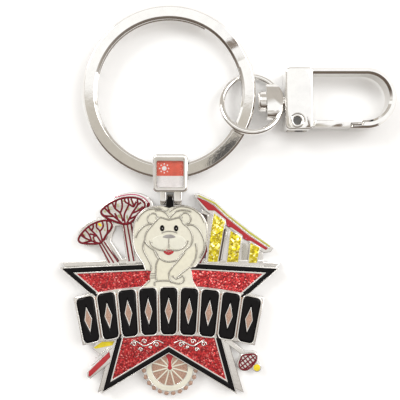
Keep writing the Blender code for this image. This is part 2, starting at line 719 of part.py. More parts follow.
def list_pools():
    """Every enamel pool of the medallion."""
    mane = rounded(MANE)
    chest = LION_CHEST
    frieze = frieze_outline(FRIEZE_MARGIN)
    raised = [offset(shape, LINE_WALL) for shape in (mane, chest, frieze)]
    border = dict(top=STAR_TOP, look=BLACK, holes=(star_line(STAR_RIM + STAR_BORDER),), blocks=raised)
    left, right, legs = star_regions()
    pool("border_left", star_line(STAR_RIM), region=left, **border)
    pool("border_right", star_line(STAR_RIM), region=right, **border)
    pool("border_legs", star_line(STAR_RIM), region=legs, **border)
    inside = star_line(STAR_RIM + STAR_BORDER + LINE_WALL)
    field = dict(top=STAR_TOP, look=RED_GLITTER, blocks=raised)
    pool("field_left", inside, region=left, **field)
    pool("field_right", inside, region=right, **field)
    pool("field_legs", inside, region=legs, **field)
    for i in range(ORNAMENTS):
        step = i - (ORNAMENTS - 1) // 2
        lozenge = lozenge_outline(step)
        pool(f"frieze_bar_{i + 1}", ornament_outline(step), FRIEZE_TOP, BLACK, holes=(lozenge,))
        pool(f"frieze_inlay_{i + 1}", offset(lozenge, -LOZENGE_WALL), FRIEZE_TOP, COPPER)
    eyes = [ellipse(centre, (0.42, 0.56), 0, 12) for centre in EYES]
    nose = ellipse(NOSE, (0.85, 0.42), 0, 12)
    mouth = ellipse(MOUTH, (0.76, 0.62), 0, 12)
    face = [offset(shape, 0.1) for shape in (*eyes, nose, mouth)]
    chest_line = [(-13, -11.9), (2, -11.9), (2, -20), (-13, -20)]
    pool("lion_mane", offset(mane, -0.15), LION_TOP, CREAM, holes=face, blocks=(chest_line,))
    above_frieze = [(-12, -11.75), (-12, -15.75), (0, -15.75), (0, -11.75)]
    pool("lion_chest", offset(chest, -0.15), LION_TOP, CREAM, region=offset(above_frieze, -0.33))
    pool("eye_left", eyes[0], LION_TOP, BLACK)
    pool("eye_right", eyes[1], LION_TOP, BLACK)
    pool("lion_nose", nose, LION_TOP, GREY)
    pool("lion_mouth", mouth, LION_TOP, RED)
    list_side_pools()


def star_regions():
    """Three outlines that part the star at the lion and at the frieze."""
    middle = FRIEZE_MIDDLE
    left = [(-30, -8), (-30, -21.5), (middle, -21.5), (middle, -8)]
    right = [(middle, -8), (middle, -21.5), (20, -21.5), (20, -8)]
    legs = [(-30, -22), (-30, -40), (20, -40), (20, -22)]
    return left, right, legs


def list_side_pools():
    large = canopy(*LARGE_CANOPY)
    small = canopy(*SMALL_CANOPY)
    pool("large_canopy", large, SIDE_TOP, DARK_RED)
    pool("small_canopy", small, SIDE_TOP, DARK_RED)
    pool("large_stem", [(-14.1, -4.9), (-13.2, -4.9), (-12.75, -11.2), (-13.5, -11.2)], SIDE_TOP, DARK_RED)
    pool("small_stem", [(-18.6, -8.3), (-17.95, -8.1), (-15.9, -11.4), (-16.8, -11.4)], SIDE_TOP, DARK_RED)
    pool("roof_red", ROOF_FILL, SIDE_TOP, RED)
    pool("roof_line", ROOF_LINE, SIDE_TOP, LIME)
    for i, tower in enumerate(TOWERS):
        pool(f"tower_{i + 1}", tower, SIDE_TOP, YELLOW_GLITTER)
    pool("wheel_cream", wheel_fill(), WHEEL_TOP, CREAM)
    pool("wheel_red", WHEEL_FRAME, WHEEL_TOP, RED)
    pool("boat_sail", SAIL, WHEEL_TOP, YELLOW)
    pool("boat_stripe", STRIPE, WHEEL_TOP, RED)
    pool("lantern_red", LANTERN_FILL, WHEEL_TOP, DARK_RED)
    pool("lantern_ball", ellipse(BALL[0], (BALL[1], BALL[1]), 0, 14), WHEEL_TOP, YELLOW)


def casting_shapes():
    """(outline, top) of every raised shape of the plate, from its back at z = 0."""
    rim = 0.3
    shapes = [
        (base_star(), BASE_TOP),
        (STAR, STAR_TOP),
        (rounded(MANE), LION_TOP),
        (LION_CHEST, LION_TOP),
        (frieze_outline(FRIEZE_MARGIN), FRIEZE_TOP),
        (ellipse(*LARGE_CANOPY_BASE), BASE_TOP),
        (ellipse(*SMALL_CANOPY_BASE), BASE_TOP),
        (canopy(*LARGE_CANOPY, grow=rim), SIDE_TOP),
        (canopy(*SMALL_CANOPY, grow=rim), SIDE_TOP),
        (LARGE_STEM, SIDE_TOP),
        (SMALL_STEM, SIDE_TOP),
        (TREE_BACK, BASE_TOP),
        (ROOF, SIDE_TOP),
        (HOUSE, BASE_TOP),
        (wheel_outline(), WHEEL_TOP),
        (BOAT, WHEEL_TOP),
        (LANTERN, WHEEL_TOP),
        (POLE, WHEEL_TOP - 0.2),
        (ellipse(BALL[0], (0.85, 0.85), 0, 16), WHEEL_TOP),
    ]
    return shapes + [(offset(tower, rim), SIDE_TOP) for tower in TOWERS]


def knuckle_shapes():
    """The hinge eye and the neck that joins it to the plate."""
    low, high = KNUCKLE_X
    eye = rod("eye", (HINGE_Y, HINGE_Z), KNUCKLE_R, low, high, 16)
    zs = (HINGE_Z - NECK_HALF_Z, HINGE_Z + NECK_HALF_Z)
    neck = side_prism("neck", rectangle((-2.0, HINGE_Y), zs), low, high)
    tongue = prism("tongue", TONGUE, *TONGUE_Z)
    return eye, neck, tongue


def charm_casting(body):
    (first, top), *others = casting_shapes()
    made = prism("charm_casting", first, 0, top)
    for outline, top in others:
        add(made, prism("shape", outline, 0, top))
    add(made, *knuckle_shapes())
    cut(made, rod("bore", (HINGE_Y, HINGE_Z), PIN_R + RUNNING, KNUCKLE_X[0] - 1, KNUCKLE_X[1] + 1, 16))
    cut(made, prism("through", TREE_HOLE, -1, 4))
    for name, note in POOLS.items():
        cut(made, pool_solid("pocket", note, note["top"] - POOL_DEPTH, note["top"] + 1, 0.0))
    return place(made, NICKEL, body, 30)


def enamel_fills(body):
    for name, note in POOLS.items():
        low = note["top"] - POOL_DEPTH + POOL_GAP
        fill = pool_solid(name, note, low, note["top"] - FILL_DROP, POOL_GAP)
        place(fill, note["look"], body)


def tongue_enamel(body):
    """The black trapezoid on the front of the knuckle's neck."""
    low = HINGE_Z + KNUCKLE_R + POOL_GAP
    return place(prism("tongue_enamel", TONGUE_ENAMEL, low, low + LABEL_T), BLACK, body)


# ---- assembly -------------------------------------------------------------------------------------


def main():
    clear_scene()
    root = empty("keychain", None, (0, 0, 0))
    root.location = (DRAWING_SHIFT[0] * MM, DRAWING_SHIFT[1] * MM, 0)
    ring_middle = (*RING_CENTRE, RING_BOTTOM)
    ring = empty("ring_centre", root, ring_middle)
    bail = empty("bail_orbit", ring, ring_middle)
    charm = empty("charm_hinge", bail, ((KNUCKLE_X[0] + KNUCKLE_X[1]) / 2, HINGE_Y, HINGE_Z))
    link = empty("link_orbit", ring, ring_middle)
    hook = empty("hook_swivel", link, (BLOCK_X[0], SWIVEL_Y, SWIVEL_Z))
    snap = empty("gate_hinge", hook, (*GATE_PIVOT, SWIVEL_Z))

    split_ring(ring)
    swivel_ring(link)
    swivel_rivet(hook)
    hook_body(hook)
    gate_rivet(hook)
    gate_spring(hook)
    gate(snap)

    bail_housing(bail)
    bail_label(bail)
    label_dome(bail)
    hinge_pin(bail)

    list_pools()
    charm_casting(charm)
    enamel_fills(charm)
    tongue_enamel(charm)


main()
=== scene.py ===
"""Looks of the souvenir keychain: nickel ring, hook and bail, and an enamelled star medallion.

Lengths are in millimetres about a drawing centre. The drawing's place in the frame comes from the
split ring's box, whose middle is at RING_CENTRE in the drawing.
"""

from math import atan2, cos, pi, radians, sin

import bmesh
import bpy
from mathutils import Matrix, Vector


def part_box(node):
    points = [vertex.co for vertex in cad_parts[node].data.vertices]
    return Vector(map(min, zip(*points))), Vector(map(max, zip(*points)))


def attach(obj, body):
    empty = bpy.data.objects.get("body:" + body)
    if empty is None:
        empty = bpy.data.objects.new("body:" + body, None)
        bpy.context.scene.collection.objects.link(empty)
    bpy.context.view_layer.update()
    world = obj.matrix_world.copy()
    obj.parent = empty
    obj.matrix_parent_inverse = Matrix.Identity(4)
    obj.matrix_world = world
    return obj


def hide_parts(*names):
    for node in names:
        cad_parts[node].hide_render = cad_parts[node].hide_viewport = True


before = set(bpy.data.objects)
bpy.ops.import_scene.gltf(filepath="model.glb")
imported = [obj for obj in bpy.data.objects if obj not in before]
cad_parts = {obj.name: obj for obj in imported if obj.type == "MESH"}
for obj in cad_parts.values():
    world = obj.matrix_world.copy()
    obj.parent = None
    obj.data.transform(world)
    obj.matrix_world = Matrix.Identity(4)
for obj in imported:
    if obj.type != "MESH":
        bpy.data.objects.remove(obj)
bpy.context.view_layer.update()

MM = 0.001
RING_CENTRE = (-5.7, 20.0)
ring_low, ring_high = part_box("split_ring")
SHIFT_X = (ring_low.x + ring_high.x) / 2 / MM - RING_CENTRE[0]
SHIFT_Y = (ring_low.y + ring_high.y) / 2 / MM - RING_CENTRE[1]


# ---- outlines ----


def area(outline):
    """Signed area: positive when the outline runs anticlockwise."""
    pairs = zip(outline, outline[1:] + outline[:1])
    return sum(ax * by - bx * ay for (ax, ay), (bx, by) in pairs) / 2


def offset(outline, distance):
    """The outline moved outwards by distance, or inwards where it is negative, with sharp corners."""
    points = outline if area(outline) > 0 else outline[::-1]
    moved = []
    for i, here in enumerate(points):
        point = Vector(here)
        before = (point - Vector(points[i - 1])).normalized()
        after = (Vector(points[(i + 1) % len(points)]) - point).normalized()
        normal = Vector((before.y + after.y, -before.x - after.x)).normalized()
        reach = distance / max(0.28, normal.dot(Vector((after.y, -after.x))))
        moved.append(tuple(point + normal * reach))
    return moved


def polar(centre, radius, turn):
    """The point at a radius and a turn, in radians, about a centre."""
    return centre[0] + radius * cos(turn), centre[1] + radius * sin(turn)


def arc(centre, radius, start, end, steps):
    """Points along a circular arc, both ends included. Angles are in degrees."""
    return [polar(centre, radius, radians(start + (end - start) * i / steps)) for i in range(steps + 1)]


def circle(centre, radius, steps=32):
    return arc(centre, radius, 0, 360 * (steps - 1) / steps, steps - 1)


def placed(points, centre, lean):
    """Points about the origin, turned anticlockwise by lean degrees and moved to a centre."""
    c, s = cos(radians(lean)), sin(radians(lean))
    return [(centre[0] + x * c - y * s, centre[1] + x * s + y * c) for x, y in points]


def ellipse(centre, half, lean=0, steps=40):
    turns = [2 * pi * i / steps for i in range(steps)]
    return placed([(half[0] * cos(t), half[1] * sin(t)) for t in turns], centre, lean)


def rectangle(xs, ys):
    return [(xs[0], ys[0]), (xs[1], ys[0]), (xs[1], ys[1]), (xs[0], ys[1])]


def round_rectangle(xs, ys, radius, steps=6):
    corners = ((xs[1], ys[1], 0), (xs[0], ys[1], 90), (xs[0], ys[0], 180), (xs[1], ys[0], 270))
    points = []
    for x, y, turn in corners:
        centre = (x - radius * (1 if x == xs[1] else -1), y - radius * (1 if y == ys[1] else -1))
        points += arc(centre, radius, turn, turn + 90, steps)
    return points


def inset(ends, gap):
    return ends[0] + gap, ends[1] - gap


def smooth(points, closed=False, steps=6):
    """A smooth curve through every point."""
    row = points[-1:] + points + points[:2] if closed else points[:1] + points + points[-1:]
    found = []
    for four in zip(row, row[1:], row[2:], row[3:]):
        for k in range(steps):
            t = k / steps
            w = (-t + 2 * t**2 - t**3, 2 - 5 * t**2 + 3 * t**3, t + 4 * t**2 - 3 * t**3, t**3 - t**2)
            found.append(tuple(sum(w[j] * four[j][axis] for j in range(4)) / 2 for axis in (0, 1)))
    return found if closed else found + points[-1:]


# ---- pieces ----


def world_point(x, y, z):
    return Vector(((x + SHIFT_X) * MM, (y + SHIFT_Y) * MM, z * MM))


def link(name, data):
    made = bpy.data.objects.new(name, data)
    bpy.context.scene.collection.objects.link(made)
    return made


def mesh_from(name, points, faces):
    """A mesh object from points in drawing millimetres, its faces turned outwards."""
    mesh = bpy.data.meshes.new(name)
    build = bmesh.new()
    corners = [build.verts.new(world_point(*point)) for point in points]
    for face in faces:
        build.faces.new([corners[i] for i in face])
    bmesh.ops.recalc_face_normals(build, faces=build.faces)
    build.to_mesh(mesh)
    build.free()
    return link(name, mesh)


def finish_piece(piece, look, body, nodes=(), sharp=35, slot=None):
    """Material, body and replaced CAD nodes of one piece. The slot that it works out is not used."""
    slot = slot or SLOTS[look]
    piece.data.materials.clear()
    piece.data.materials.append(look)
    piece.data.shade_smooth()
    piece.data.set_sharp_from_angle(angle=radians(sharp))
    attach(piece, body)
    if nodes:
        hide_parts(*nodes)
    return piece


def tube(name, rings, closed):
    """A solid through rings of points, each with the same count. It is closed on itself, or capped."""
    count = len(rings[0])
    points = [point for ring in rings for point in ring]
    faces = []
    for i in range(len(rings) if closed else len(rings) - 1):
        j = (i + 1) % len(rings)
        for k in range(count):
            m = (k + 1) % count
            faces.append((i * count + k, i * count + m, j * count + m, j * count + k))
    if not closed:
        faces.append(tuple(range(count)))
        faces.append(tuple(range((len(rings) - 1) * count, len(rings) * count)))
    return mesh_from(name, points, faces)


def from_curve(name, curve):
    """Turns a curve that was drawn in millimetres into a mesh object in the frame."""
    guide = link(name + "_guide", curve)
    graph = bpy.context.evaluated_depsgraph_get()
    mesh = bpy.data.meshes.new_from_object(guide.evaluated_get(graph))
    bpy.data.objects.remove(guide)
    bpy.data.curves.remove(curve)
    mesh.name = name
    mesh.transform(Matrix.Translation((SHIFT_X * MM, SHIFT_Y * MM, 0)) @ Matrix.Scale(MM, 4))
    build = bmesh.new()
    build.from_mesh(mesh)
    bmesh.ops.remove_doubles(build, verts=build.verts, dist=1e-7)
    bmesh.ops.dissolve_degenerate(build, edges=build.edges, dist=1e-8)
    build.to_mesh(mesh)
    build.free()
    return link(name, mesh)


def poly_splines(curve, lines, closed, height=0.0):
    for line in lines:
        spline = curve.splines.new("POLY")
        spline.points.add(len(line) - 1)
        for point, (x, y) in zip(spline.points, line):
            point.co = (x, y, height, 1)
        spline.use_cyclic_u = closed


def plate(name, outlines, low, high, edge=0.06, rounds=2):
    """A flat piece with rounded edges. The first outline is its rim, and any others are holes."""
    curve = bpy.data.curves.new(name, "CURVE")
    curve.dimensions = "2D"
    curve.fill_mode = "BOTH"
    curve.extrude = (high - low) / 2 - edge
    curve.bevel_depth = edge
    curve.bevel_resolution = rounds
    curve.offset = -edge
    poly_splines(curve, outlines, True)
    made = from_curve(name, curve)
    made.data.transform(Matrix.Translation((0, 0, (high + low) / 2 * MM)))
    return made


def wires(name, paths, radius, height, closed=False):
    """Raised lines: round wires whose middles lie at one height."""
    curve = bpy.data.curves.new(name, "CURVE")
    curve.dimensions = "3D"
    curve.bevel_depth = radius
    curve.bevel_resolution = 3
    curve.use_fill_caps = True
    poly_splines(curve, paths, closed, height)
    return from_curve(name, curve)


def joined(name, pieces):
    """One object out of several."""
    build = bmesh.new()
    for piece in pieces:
        build.from_mesh(piece.data)
        bpy.data.objects.remove(piece)
    mesh = bpy.data.meshes.new(name)
    build.to_mesh(mesh)
    build.free()
    return link(name, mesh)


def turned(name, profile, centre, axis, steps=64):
    """A closed profile of (radius, height) turned round a line along Z or X through centre."""
    rings = []
    for i in range(steps):
        ring = []
        for radius, height in profile:
            a, b = polar(centre, radius, 2 * pi * i / steps)
            ring.append((a, b, height) if axis == "Z" else (height, a, b))
        rings.append(ring)
    return tube(name, rings, True)


def side_prism(name, outline, low, high):
    """An outline in the YZ plane, run along X from low to high."""
    return tube(name, [[(low, y, z) for y, z in outline], [(high, y, z) for y, z in outline]], False)


def prism(name, outline, low, high):
    return tube(name, [[(x, y, low) for x, y in outline], [(x, y, high) for x, y in outline]], False)


def apply(piece):
    """Replaces a piece's mesh by what its modifiers make of it."""
    graph = bpy.context.evaluated_depsgraph_get()
    mesh = bpy.data.meshes.new_from_object(piece.evaluated_get(graph))
    piece.modifiers.clear()
    piece.data = mesh
    return piece


def bevel(piece, width, segments=3, angle=40):
    step = piece.modifiers.new("edge", "BEVEL")
    step.width = width * MM
    step.segments = segments
    step.limit_method = "ANGLE"
    step.angle_limit = radians(angle)
    step.harden_normals = False
    return apply(piece)


def combine(target, tool, operation):
    step = target.modifiers.new("step", "BOOLEAN")
    step.operation = operation
    step.object = tool
    apply(target)
    bpy.data.objects.remove(tool)
    return target


def drill(piece, outline, low, high, solid=prism):
    """Cuts a hole of this outline through a piece."""
    combine(piece, solid("hole", outline, low, high), "DIFFERENCE")


# ---- materials ----
# Noise scales count waves in a metre, and bump distances are in metres. SLOTS holds each look's record slot.

SLOTS = {}


def feed(tree, made, inputs):
    """Sets a shader node's inputs. Each is a value, or the output of another node."""
    for key, value in inputs.items():
        if isinstance(value, bpy.types.NodeSocket):
            tree.links.new(value, made.inputs[key])
        else:
            made.inputs[key].default_value = value


def node(tree, kind, inputs, **settings):
    made = tree.nodes.new("ShaderNode" + kind)
    for name, value in settings.items():
        setattr(made, name, value)
    feed(tree, made, inputs)
    return made.outputs


def maths(tree, kind, operation, *values):
    """The first output of a maths node."""
    return node(tree, kind, dict(enumerate(values)), operation=operation)[0]


def new_material(name, slot=None):
    made = bpy.data.materials.new(name)
    SLOTS[made] = slot or name
    made.use_nodes = True
    tree = made.node_tree
    return made, tree, tree.nodes["Principled BSDF"], node(tree, "TexCoord", {})["Object"]


def noise(tree, place, scale, detail, rough=0.55):
    inputs = {"Scale": scale, "Detail": detail, "Roughness": rough, "Vector": place}
    return node(tree, "TexNoise", inputs)["Fac"]


def ramp(tree, value, stops):
    """A colour ramp of (position, colour) stops."""
    made = tree.nodes.new("ShaderNodeValToRGB")
    bands = made.color_ramp
    for i in (0, -1):
        bands.elements[i].position, bands.elements[i].color = stops[i][0], (*stops[i][1], 1)
    for place, colour in stops[1:-1]:
        bands.elements.new(place).color = (*colour, 1)
    feed(tree, made, {"Fac": value})
    return made.outputs["Color"]


def spread(tree, value, low, high):
    """Maps a value from 0..1 to low..high."""
    return node(tree, "MapRange", {"To Min": low, "To Max": high, "Value": value})["Result"]


def bump(tree, height, distance):
    """The normal of a surface with ripples."""
    return node(tree, "Bump", {"Distance": distance, "Strength": 1.0, "Height": height})["Normal"]


def tinted(colour, factor):
    return tuple(min(1.0, value * factor) for value in colour)


def nickel(name, colour, low, high, waviness):
    """Plated metal: clouded roughness, faint stains and a slightly wavy surface."""
    made, tree, shader, place = new_material(name, "nickel")
    stains = ((0.3, tinted(colour, 0.93)), (0.7, colour))
    feed(tree, shader, {
        "Metallic": 1.0,
        "Base Color": ramp(tree, noise(tree, place, 420, 3), stains),
        "Roughness": spread(tree, noise(tree, place, 7000, 4, 0.6), low, high),
        "Normal": bump(tree, noise(tree, place, 1500, 2), waviness),
    })
    return made


def enamel(name, colour, rough=0.12, vary=0.12, coat=0.35, gloss=0.4, slot=None):
    """Soft enamel: a cloudy pigment under a glossy skin with shallow ripples."""
    made, tree, shader, place = new_material(name, slot)
    clouds = ((0.3, tinted(colour, 1 - vary)), (0.7, tinted(colour, 1 + vary)))
    feed(tree, shader, {
        "Base Color": ramp(tree, noise(tree, place, 1300, 4), clouds),
        "Roughness": spread(tree, noise(tree, place, 5200, 3), rough * 0.7, rough * 1.5),
        "Coat Weight": coat,
        "Coat Roughness": 0.05,
        "Specular IOR Level": gloss,
        "Normal": bump(tree, noise(tree, place, 900, 2), 0.00006),
    })
    return made


def glitter(name, stops, flake, sparkle=0.5):
    """Glitter in clear resin: small flakes, each of its own shade and tilt."""
    made, tree, shader, place = new_material(name)
    cells = node(tree, "TexVoronoi", {"Scale": 1 / (flake * MM), "Vector": place})["Color"]
    parts = node(tree, "SeparateColor", {"Color": cells})
    centred = maths(tree, "VectorMath", "SUBTRACT", cells, (0.5, 0.5, 0.5))
    tilt = node(tree, "VectorMath", {0: centred, "Scale": sparkle}, operation="SCALE")[0]
    surface = node(tree, "NewGeometry", {})["Normal"]
    leaning = maths(tree, "VectorMath", "ADD", surface, tilt)
    feed(tree, shader, {
        "Base Color": ramp(tree, parts["Red"], stops),
        "Metallic": spread(tree, parts["Green"], 0.1, 0.9),
        "Roughness": spread(tree, parts["Blue"], 0.25, 0.5),
        "Normal": maths(tree, "VectorMath", "NORMALIZE", leaning),
        "Coat Weight": 0.3,
        "Coat Roughness": 0.08,
    })
    return made


def epoxy(name):
    """Clear domed resin with a faint ripple."""
    made, tree, shader, place = new_material(name)
    feed(tree, shader, {
        "Base Color": (0.98, 0.98, 0.98, 1),
        "Transmission Weight": 1.0,
        "IOR": 1.25,
        "Roughness": spread(tree, noise(tree, place, 2500, 2), 0.01, 0.05),
        "Normal": bump(tree, noise(tree, place, 600, 1), 0.00003),
    })
    return made


NICKEL = nickel("polished_nickel", (0.88, 0.865, 0.84), 0.03, 0.08, 0.000003)
CAST_NICKEL = nickel("cast_nickel", (0.84, 0.82, 0.79), 0.10, 0.24, 0.00002)
# Darker nickel for raised lines. The building's wall strip also uses it as painted shade.
LINE_METAL = nickel("line_metal", (0.58, 0.56, 0.50), 0.2, 0.34, 0.00001)
STEEL = nickel("spring_steel", (0.50, 0.50, 0.51), 0.2, 0.4, 0.00001)
BLACK = enamel("black_enamel", (0.003, 0.0024, 0.003), 0.07, 0.3, 0.0, 0.16)
CREAM = enamel("cream_enamel", (0.76, 0.735, 0.62), 0.2, 0.04, 0.2)
WARM_CREAM = enamel("warm_cream_enamel", (0.77, 0.74, 0.60), 0.2, 0.04, 0.2, slot="cream_enamel")
MILK = enamel("milk_enamel", (0.77, 0.755, 0.65), 0.2, 0.03, 0.2, slot="cream_enamel")
PALE_MOSS = enamel("pale_moss_enamel", (0.42, 0.43, 0.22), 0.25, 0.2, 0.1, slot="lime_enamel")
RED = enamel("red_enamel", (0.42, 0.015, 0.022), 0.15, 0.16)
DARK_RED = enamel("dark_red_enamel", (0.17, 0.006, 0.014), 0.2, 0.2, 0.0, 0.25)
PINK = enamel("pink_enamel", (0.55, 0.07, 0.16), 0.2, 0.2, slot="red_enamel")
LIME = enamel("lime_enamel", (0.55, 0.52, 0.06), 0.18, 0.15)
YELLOW = enamel("yellow_enamel", (0.83, 0.66, 0.01), 0.15, 0.12)
# Near-black brown used as painted shade: it fills gaps in the building that lie in shadow.
PAINTED_SHADE_UMBER = enamel("painted_shade_umber", (0.07, 0.05, 0.042), 0.25, 0.3, 0.0, 0.3, slot="black_enamel")
GREY = enamel("grey_enamel", (0.34, 0.32, 0.31), 0.25, 0.2)
MOSS = enamel("moss_enamel", (0.33, 0.34, 0.16), 0.25, 0.3, slot="lime_enamel")
LABEL_RED = enamel("label_red", (0.85, 0.135, 0.08), 0.4, 0.08, 0.0, slot="label_print")
LABEL_WHITE = enamel("label_white", (0.95, 0.91, 0.90), 0.4, 0.03, 0.0, slot="label_print")
RED_STOPS = (
    (0.0, (0.06, 0.003, 0.006)), (0.22, (0.26, 0.006, 0.010)), (0.6, (0.50, 0.014, 0.018)),
    (0.88, (0.66, 0.05, 0.05)), (1.0, (0.8, 0.30, 0.27)),
)
YELLOW_STOPS = (
    (0.0, (0.30, 0.20, 0.01)), (0.25, (0.56, 0.44, 0.005)), (0.7, (0.76, 0.64, 0.008)),
    (1.0, (0.9, 0.84, 0.42)),
)
COPPER_STOPS = ((0.0, (0.36, 0.20, 0.14)), (0.5, (0.50, 0.31, 0.23)), (1.0, (0.60, 0.42, 0.33)))
RED_GLITTER = glitter("red_glitter", RED_STOPS, 0.2)
YELLOW_GLITTER = glitter("yellow_glitter", YELLOW_STOPS, 0.3)
COPPER = glitter("copper_enamel", COPPER_STOPS, 0.07, 0.25)
EPOXY = epoxy("clear_epoxy")


# ---- split ring ----

RING_OUTER_R = (ring_high.x - ring_low.x) / 2 / MM
RING_BAND = 2.5
COIL_GAP = 0.04
RING_LOW = ring_low.z / MM
COIL_T = ((ring_high.z - ring_low.z) / MM - COIL_GAP) / 2
RING_RAMP = radians(18)
RING_END = radians(3)
RING_START = radians(130) - pi / 2


def strip_section(radius, low):
    """The flat strip's section, as (radius, height), with broad chamfers and softened corners."""
    inner, outer, high = radius - RING_BAND / 2, radius + RING_BAND / 2, low + COIL_T
    wide, narrow, deep, soft, ease = 0.36, 0.42, 0.28, 0.03, 0.02
    half = [
        (inner + narrow + soft, 0), (outer - wide - soft, 0), (outer - wide + soft, ease),
        (outer - soft, deep), (outer, deep + soft),
    ]
    back = [(inner, deep + soft), (inner + soft, deep), (inner + narrow - soft, ease)]
    lower = [(r, low + rise) for r, rise in half]
    upper = [(r, high - rise) for r, rise in half[::-1] + back[::-1]]
    return lower + upper + [(r, low + rise) for r, rise in back]


def split_ring():
    """Two turns of flat strip, which rises by one coil over a short ramp."""
    start, stop = RING_RAMP + RING_END, 4 * pi - RING_RAMP - RING_END
    steps = 440
    rings = []
    for i in range(steps + 1):
        t = start + (stop - start) * i / steps
        rise = min(1.0, max(0.0, (t - 2 * pi + RING_RAMP) / (2 * RING_RAMP)))
        rise = rise * rise * (3 - 2 * rise)
        section = strip_section(RING_OUTER_R - RING_BAND / 2, RING_LOW + (COIL_T + COIL_GAP) * rise)
        rings.append([(*polar(RING_CENTRE, r, t + RING_START), z) for r, z in section])
    finish_piece(tube("split_ring_strip", rings, False), NICKEL, "ring", ["split_ring"], 8)


# ---- swivel ring, rivet, hook and gate ----

LINK_CENTRE = (9.55, 17.85, 2.6)
LINK_R = (5.5, 5.85)
WIRE_R = 0.57
LINK_LEAN = radians(-20)
BOSS_X = (12.3, 15.3)
BOSS_HALF = (3.5, 1.6)
BARREL = [(12.2, 14.6)] + arc((10.6, 18.2), 4.7, -48, 48, 20) + [(12.2, 21.8)]
SWIVEL = (18.2, 2.5)
SHANK_BORE = 1.05
SOCKET_R = 1.03
SOCKET_X = (15, 17.5)
RIVET_X = (10.75, 12.25, 17.3)
BLOCK_X = (15.55, 20.6)
BLOCK_Y = (12.8, 24.2)
BLOCK_Z = (0.0, 5.0)
BAR_Z = (0.7, 4.3)
BAR_OUTER = ((30.55, 18.75), 5.55)
BAR_INNER = ((30.55, 18.9), 4.25)
BAR_ROOT = (24.3, 23.15)
NOSE = [(27.65, 13.2), (27.82, 13.85), (29.52, 13.95), (29.9, 14.65)]
SLOT_X, SLOT_Y, SLOT_Z = (16.1, 22.0), (11.0, 17.2), (1.6, 3.4)
GATE_PIVOT = (17.7, 14.45)
GATE_Z = (1.65, 3.35)
GATE_LEVER = [(20.75, 13.2), (27.5, 13.2), (27.68, 13.97), (29.38, 14.07), (29.72, 14.65), (21.1, 14.65)]
GATE_ROOT = [(17.7, 13.3), (22.0, 13.3), (22.0, 14.55), (17.7, 15.6)]
EYE_R = 1.45
EYE_BORE = 1.05
EYELET_BORE = 1.03
EYELET_SEAT = (1.46, 0.33)


def leaned(piece):
    centre = world_point(*LINK_CENTRE)
    lean = Matrix.Translation(centre) @ Matrix.Rotation(LINK_LEAN, 4, "X") @ Matrix.Translation(-centre)
    piece.data.transform(lean)
    return piece


def swivel_ring():
    """A round wire bent to an upright oval, and the flattened barrel that the rivet runs through."""
    steps, sides = 112, 20
    rings = []
    for i in range(steps):
        t = 2 * pi * i / steps
        out = Vector((cos(t) / LINK_R[0], sin(t) / LINK_R[1])).normalized()
        x, y = LINK_CENTRE[0] + LINK_R[0] * cos(t), LINK_CENTRE[1] + LINK_R[1] * sin(t)
        section = [polar((0, 0), WIRE_R, 2 * pi * k / sides) for k in range(sides)]
        rings.append([(x + out.x * side, y + out.y * side, LINK_CENTRE[2] + up) for side, up in section])
    finish_piece(leaned(tube("swivel_ring_wire", rings, True)), NICKEL, "link", ["swivel_ring"], 60)
    ys, zs = [(middle - half, middle + half) for middle, half in zip(SWIVEL, BOSS_HALF)]
    boss = side_prism("swivel_boss", round_rectangle(ys, zs, 1.3, 3), *BOSS_X)
    combine(boss, prism("barrel", BARREL, SWIVEL[1] - 3, SWIVEL[1] + 3), "INTERSECT")
    leaned(bevel(boss, 0.2, 3, 60))
    drill(boss, circle(SWIVEL, SHANK_BORE, 24), 11, 17, side_prism)
    finish_piece(boss, NICKEL, "link", (), 40)


def swivel_rivet():
    low, high, end = RIVET_X
    head = [(0.02, 0), (1.25, 0), (1.55, 0.05), (1.8, 0.18), (1.92, 0.42), (1.95, 0.7)]
    profile = [(r, low + up) for r, up in head]
    profile += [(1.95, high - 0.1), (1.85, high), (1.0, high), (1.0, end), (0.02, end)]
    finish_piece(turned("swivel_rivet_head", profile, SWIVEL, "X"), NICKEL, "hook", ["swivel_rivet"], 40)


def hook():
    """The U-shaped bar with its stepped nose, and the block with the gate's slot in it."""
    root = BLOCK_X[1] - 1.0
    outline = [(root, BAR_ROOT[0])] + arc(*BAR_OUTER, 90, -90, 40) + NOSE
    outline += arc(*BAR_INNER, -90, 90, 40) + [(root, BAR_ROOT[1])]
    finish_piece(plate("hook_bar", [outline], *BAR_Z, 0.4, 0), NICKEL, "hook", (), 30)
    block = prism("hook_block", round_rectangle(BLOCK_X, BLOCK_Y, 0.9, 8), *BLOCK_Z)
    bevel(block, 0.35, 4, 50)
    drill(block, rectangle(SLOT_X, SLOT_Y), *SLOT_Z)
    drill(block, circle(GATE_PIVOT, EYELET_BORE, 40), BLOCK_Z[0] - 1, BLOCK_Z[1] + 1)
    seat, deep = EYELET_SEAT
    for low, high in ((BLOCK_Z[0] - 1, BLOCK_Z[0] + deep), (BLOCK_Z[1] - deep, BLOCK_Z[1] + 1)):
        drill(block, circle(GATE_PIVOT, seat, 48), low, high)
    drill(block, circle(SWIVEL, SOCKET_R, 24), *SOCKET_X, side_prism)
    finish_piece(block, NICKEL, "hook", ["hook_body"])


def gate():
    """The lever that closes the hook, and its root, with an eye for the rivet, inside the block."""
    lever = plate("gate_lever", [GATE_LEVER], *BAR_Z, 0.22, 3)
    root = prism("root", GATE_ROOT, *GATE_Z)
    combine(root, prism("eye", circle(GATE_PIVOT, EYE_R, 40), *GATE_Z), "UNION")
    drill(root, circle(GATE_PIVOT, EYE_BORE, 40), *BLOCK_Z)
    finish_piece(joined("gate_snap", [lever, root]), NICKEL, "gate", ["gate"])


